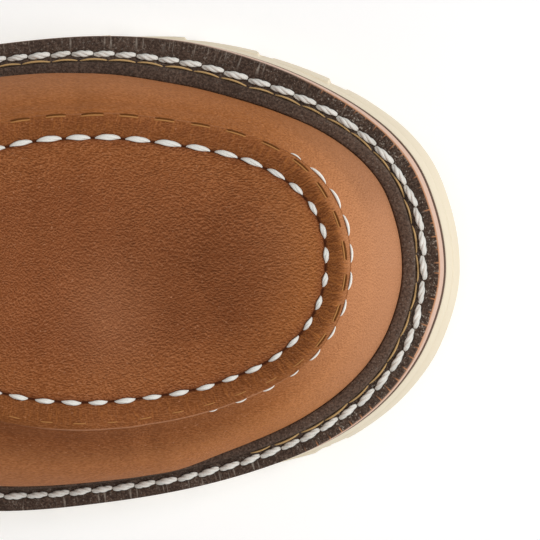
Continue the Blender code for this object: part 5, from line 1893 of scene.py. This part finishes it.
@dataclass
class Lacing:
    """Turned eyelets and a braided cord laced crosswise through them."""

    form: BootForm
    shop: Workshop
    upper: Upper
    cord_wide: float = 1.9
    cord_thick: float = 1.1
    lift: float = 0.15
    flange: float = 4.6
    barrel: float = 2.8
    bore: float = 2.3
    braid_pitch: float = 3.4

    def make_eyelets(self) -> None:
        """Builds all eyelets as one piece of turned rings."""
        depth = self.form.wall + self.form.quarter_step
        lift, flange, bore = self.lift, self.flange, self.bore
        profile = np.array((
            (bore, -depth), (self.barrel, -depth), (self.barrel, lift), (flange, lift), (flange, lift + 0.35),
            (flange - 0.35, lift + 0.8), (flange - 0.9, lift + 0.98), (bore + 0.6, lift + 0.85),
            (bore + 0.15, lift + 0.45), (bore, lift - 0.2)))
        turn = np.linspace(0.0, 2.0 * math.pi, 32, endpoint=False)
        size = len(profile) * len(turn)
        points, faces = [], []
        for side in Side:
            for spot, out in zip(*self.upper.eyelet_spots(side)):
                first = unit(np.cross(out, [0.0, 0.0, 1.0]))
                second = np.cross(out, first)
                round_ = np.cos(turn)[:, None] * first + np.sin(turn)[:, None] * second
                ring = spot + profile[:, :1, None] * round_[None] + profile[:, 1:, None] * out
                faces.append(grid_faces(len(profile) + 1, len(turn), True) % size + size * len(points))
                points.append(ring.reshape(-1, 3))
        points, faces = np.concatenate(points), np.concatenate(faces)
        item = self.shop.piece("eyelet_rings", points, faces, BRASS, "eyelet_brass")
        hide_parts(*[f"eyelet_{letter}{i + 1}" for letter in "ml" for i in range(self.upper.eyelets)])

    def over(self, place: float, side: Side, distance: float, rise: float) -> Array:
        """A point over the eyestay at a distance in from its edge."""
        form = self.form
        at = np.array([place])
        t = form.from_top(at, side, distance)
        return form.raised(at, side, t, form.quarter_step + rise)[0][0]

    def strand(self, first: Side, crossing: float) -> list[Array]:
        """Points of one half of the lace, from the bar at the lowest eyelets to the top eyelet it ends in.

        Each run comes up through an eyelet, goes over its own eyestay's edge and across, and passes under the
        other eyestay to the next eyelet; the first one starts down through the lowest eyelet.

        Args:
            first: side of the lowest eyelet.
            crossing: height that it keeps over or under the other half where they cross.

        Returns:
            The points.
        """
        form = self.form
        places = form.throat_places(self.upper.eyelets)
        edge = self.upper.eyelet_from_edge
        over = self.lift + self.cord_thick + 0.9
        under = -(form.quarter_step + form.wall + self.cord_thick + 0.15)
        up = np.array([0.25, 0.0, 0.97])
        path = [self.over(places[0], first, 1.0, over), self.over(places[0], first, edge - 3.0, over + 0.4),
                self.over(places[0], first, edge, -0.4)]
        side = first
        for number, (low, high) in enumerate(zip(places, places[1:])):
            other = Side.LATERAL if side is Side.MEDIAL else Side.MEDIAL
            span = high - low
            level = over if number else under
            if number:
                path += [self.over(low, side, edge, -0.4), self.over(low, side, edge - 3.0, over + 0.4),
                         self.over(low + span * 0.26, side, 1.6, over)]
            else:
                path += [self.over(low, side, edge - 2.5, under),
                         self.over(low + span * 0.26, side, 1.0, under)]
            half = low + span * 0.5
            middle = self.over(half, side, 0.5, level) + self.over(half, other, 0.5, under)
            path += [middle / 2.0 + up * crossing, self.over(low + span * 0.74, other, 1.0, under),
                     self.over(high, other, edge - 2.5, under)]
            side = other
        path += [self.over(places[-1], side, edge, -1.2), self.over(places[-1], side, edge, 0.4)]
        return path

    def smooth(self, path: list[Array], spacing: float) -> Array:
        """A smooth path through points, at an even spacing."""
        knots = np.array(path)
        at = lengths(knots)
        marks = np.linspace(0.0, at[-1], 40 * len(path))
        fine = np.stack([flow(marks, at, knots[:, i]) for i in range(3)], axis=-1)
        run = lengths(fine)
        return read_at(np.linspace(0.0, run[-1], int(run[-1] / spacing)), run, fine)

    def cord(self, path: Array, face: Array) -> tuple[Array, Array]:
        """Flat braided cord along a path.

        Args:
            path: evenly spaced points.
            face: direction that the cord's flat side turns to, at each point.

        Returns:
            Points and quads, closed at both ends.
        """
        sides = 20
        along = unit(np.gradient(path, axis=0))
        first = unit(np.cross(along, face))
        second = np.cross(first, along)
        turn = np.linspace(0.0, 2.0 * math.pi, sides, endpoint=False)
        run = lengths(path)[:, None] * 2.0 * math.pi / self.braid_pitch
        weave = 1.0 + 0.07 * np.sin(run + 4.0 * turn) * np.sin(run - 4.0 * turn)
        weave[0] = weave[-1] = 0.0
        weave[1] = weave[-2] = 0.75
        wide = np.cos(turn)[None, :, None] * first[:, None] * self.cord_wide
        thick = np.sin(turn)[None, :, None] * second[:, None] * self.cord_thick
        points = path[:, None] + (wide + thick) * weave[..., None]
        return points.reshape(-1, 3), grid_faces(len(path), sides, True)

    def facing(self, path: Array) -> Array:
        """Direction away from the middle of the shaft at each point, kept smooth along the cord."""
        along = unit(np.gradient(path, axis=0))
        face = np.zeros_like(path)
        face[0] = unit(np.array([0.4, 0.0, 0.9]))
        for i in range(1, len(path)):
            guide = np.array([0.55, 0.35 * np.sign(path[i, 1]), 0.75])
            turned = face[i - 1] * 0.85 + unit(guide) * 0.15
            face[i] = unit(turned - along[i] * (turned @ along[i]))
        return face

    def make_lace(self) -> None:
        """Laces the boot: a bar at the lowest eyelets, then crossings up to the top pair."""
        medial, lateral = self.strand(Side.MEDIAL, 1.25), self.strand(Side.LATERAL, -1.25)
        bar = (medial[0] + lateral[0]) / 2.0 + np.array([0.1, 0.0, 0.5])
        path = self.smooth(lateral[::-1] + [bar] + medial, 0.45)
        points, faces, _ = welded(*self.cord(path, self.facing(path)), {})
        item = self.shop.piece("boot_lace", points, faces, LACE_CORD, "lace_cord", None, 180.0)
        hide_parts("lace")


@dataclass
class Studio:
    """Pale floor, soft lights and the camera straight above the toe."""

    form: BootForm
    frame_mm: float = 130.75
    distance: float = 2.4
    look_from_toe: float = 41.0
    look_side: float = -0.5
    look_height: float = 20.0
    sensor: float = 36.0

    def make_floor(self) -> None:
        """Lays the floor."""
        mesh = bpy.data.meshes.new("floor")
        size, under = 3.0, -0.1 * MM
        corners = [(-size, -size, under), (size, -size, under), (size, size, under), (-size, size, under)]
        mesh.from_pydata(corners, [], [(0, 1, 2, 3)])
        b = Bench("pale_floor")
        b.set(Base_Color=(0.82, 0.82, 0.82), Roughness=0.7, Specular_IOR_Level=0.1)
        b.set(Emission_Color=(1.0, 1.0, 1.0), Emission_Strength=0.30)
        mesh.materials.append(b.material)
        floor = bpy.data.objects.new("floor", mesh)
        bpy.context.scene.collection.objects.link(floor)

    def make_light(self, name: str, place: tuple, size: float, watts: float) -> None:
        """Adds one square light that faces the toe."""
        light = bpy.data.lights.new(name, "AREA")
        light.energy, light.size = watts, size
        item = bpy.data.objects.new(name, light)
        item.location = place
        aim = Vector((0.06, 0.0, 0.04)) - Vector(place)
        item.rotation_euler = aim.to_track_quat("-Z", "Y").to_euler()
        bpy.context.scene.collection.objects.link(item)

    def make(self) -> None:
        """Sets floor, lights, surroundings and camera."""
        scene = bpy.context.scene
        self.make_floor()
        self.make_light("key_light", (1.1, 0.12, 0.8), 0.8, 9.5)
        self.make_light("top_light", (-0.1, 0.4, 1.5), 1.4, 5.2)
        self.make_light("fill_light", (-0.2, -1.1, 1.0), 1.2, 3.6)
        world = bpy.data.worlds.new("surroundings")
        world.use_nodes = True
        world.node_tree.nodes["Background"].inputs["Color"].default_value = (1.0, 1.0, 1.0, 1.0)
        world.node_tree.nodes["Background"].inputs["Strength"].default_value = 0.28
        scene.world = world
        scene.view_settings.view_transform = "Standard"
        lens = bpy.data.cameras.new("camera")
        lens.sensor_width = self.sensor
        lens.lens = self.sensor * self.distance / (self.frame_mm * MM)
        lens.clip_end = 20.0
        camera = bpy.data.objects.new("camera", lens)
        target = np.array([-self.look_from_toe, self.look_side, 0.0]) - self.form.centre
        camera.location = (target[0] * MM, target[1] * MM, self.distance + self.look_height * MM)
        camera.rotation_euler = (0.0, 0.0, 0.0)
        scene.collection.objects.link(camera)
        scene.camera = camera


def dress_insole(shop: Workshop) -> None:
    """Gives the footbed its leather."""
    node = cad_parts["insole"]
    node.data.materials.clear()
    node.data.materials.append(shop.finish(FOOTBED))


def main() -> None:
    """Builds the boot's looks in order."""
    logging.basicConfig(level=logging.INFO, format="%(name)s %(message)s")
    form, shop = BootForm(), Workshop()
    sole = Sole(form, shop)
    sole.make_outsole()
    sole.make_midsole()
    welt = Welt(form, shop)
    welt.make()
    welt.make_stitches()
    upper = Upper(form, shop)
    upper.make_vamp()
    upper.make_quarters()
    upper.make_seam_stitches()
    upper.make_quarter_stitches()
    Tongue(form, shop).make()
    lacing = Lacing(form, shop, upper)
    lacing.make_eyelets()
    lacing.make_lace()
    dress_insole(shop)
    Studio(form).make()


if __name__ == "__main__":
    main()
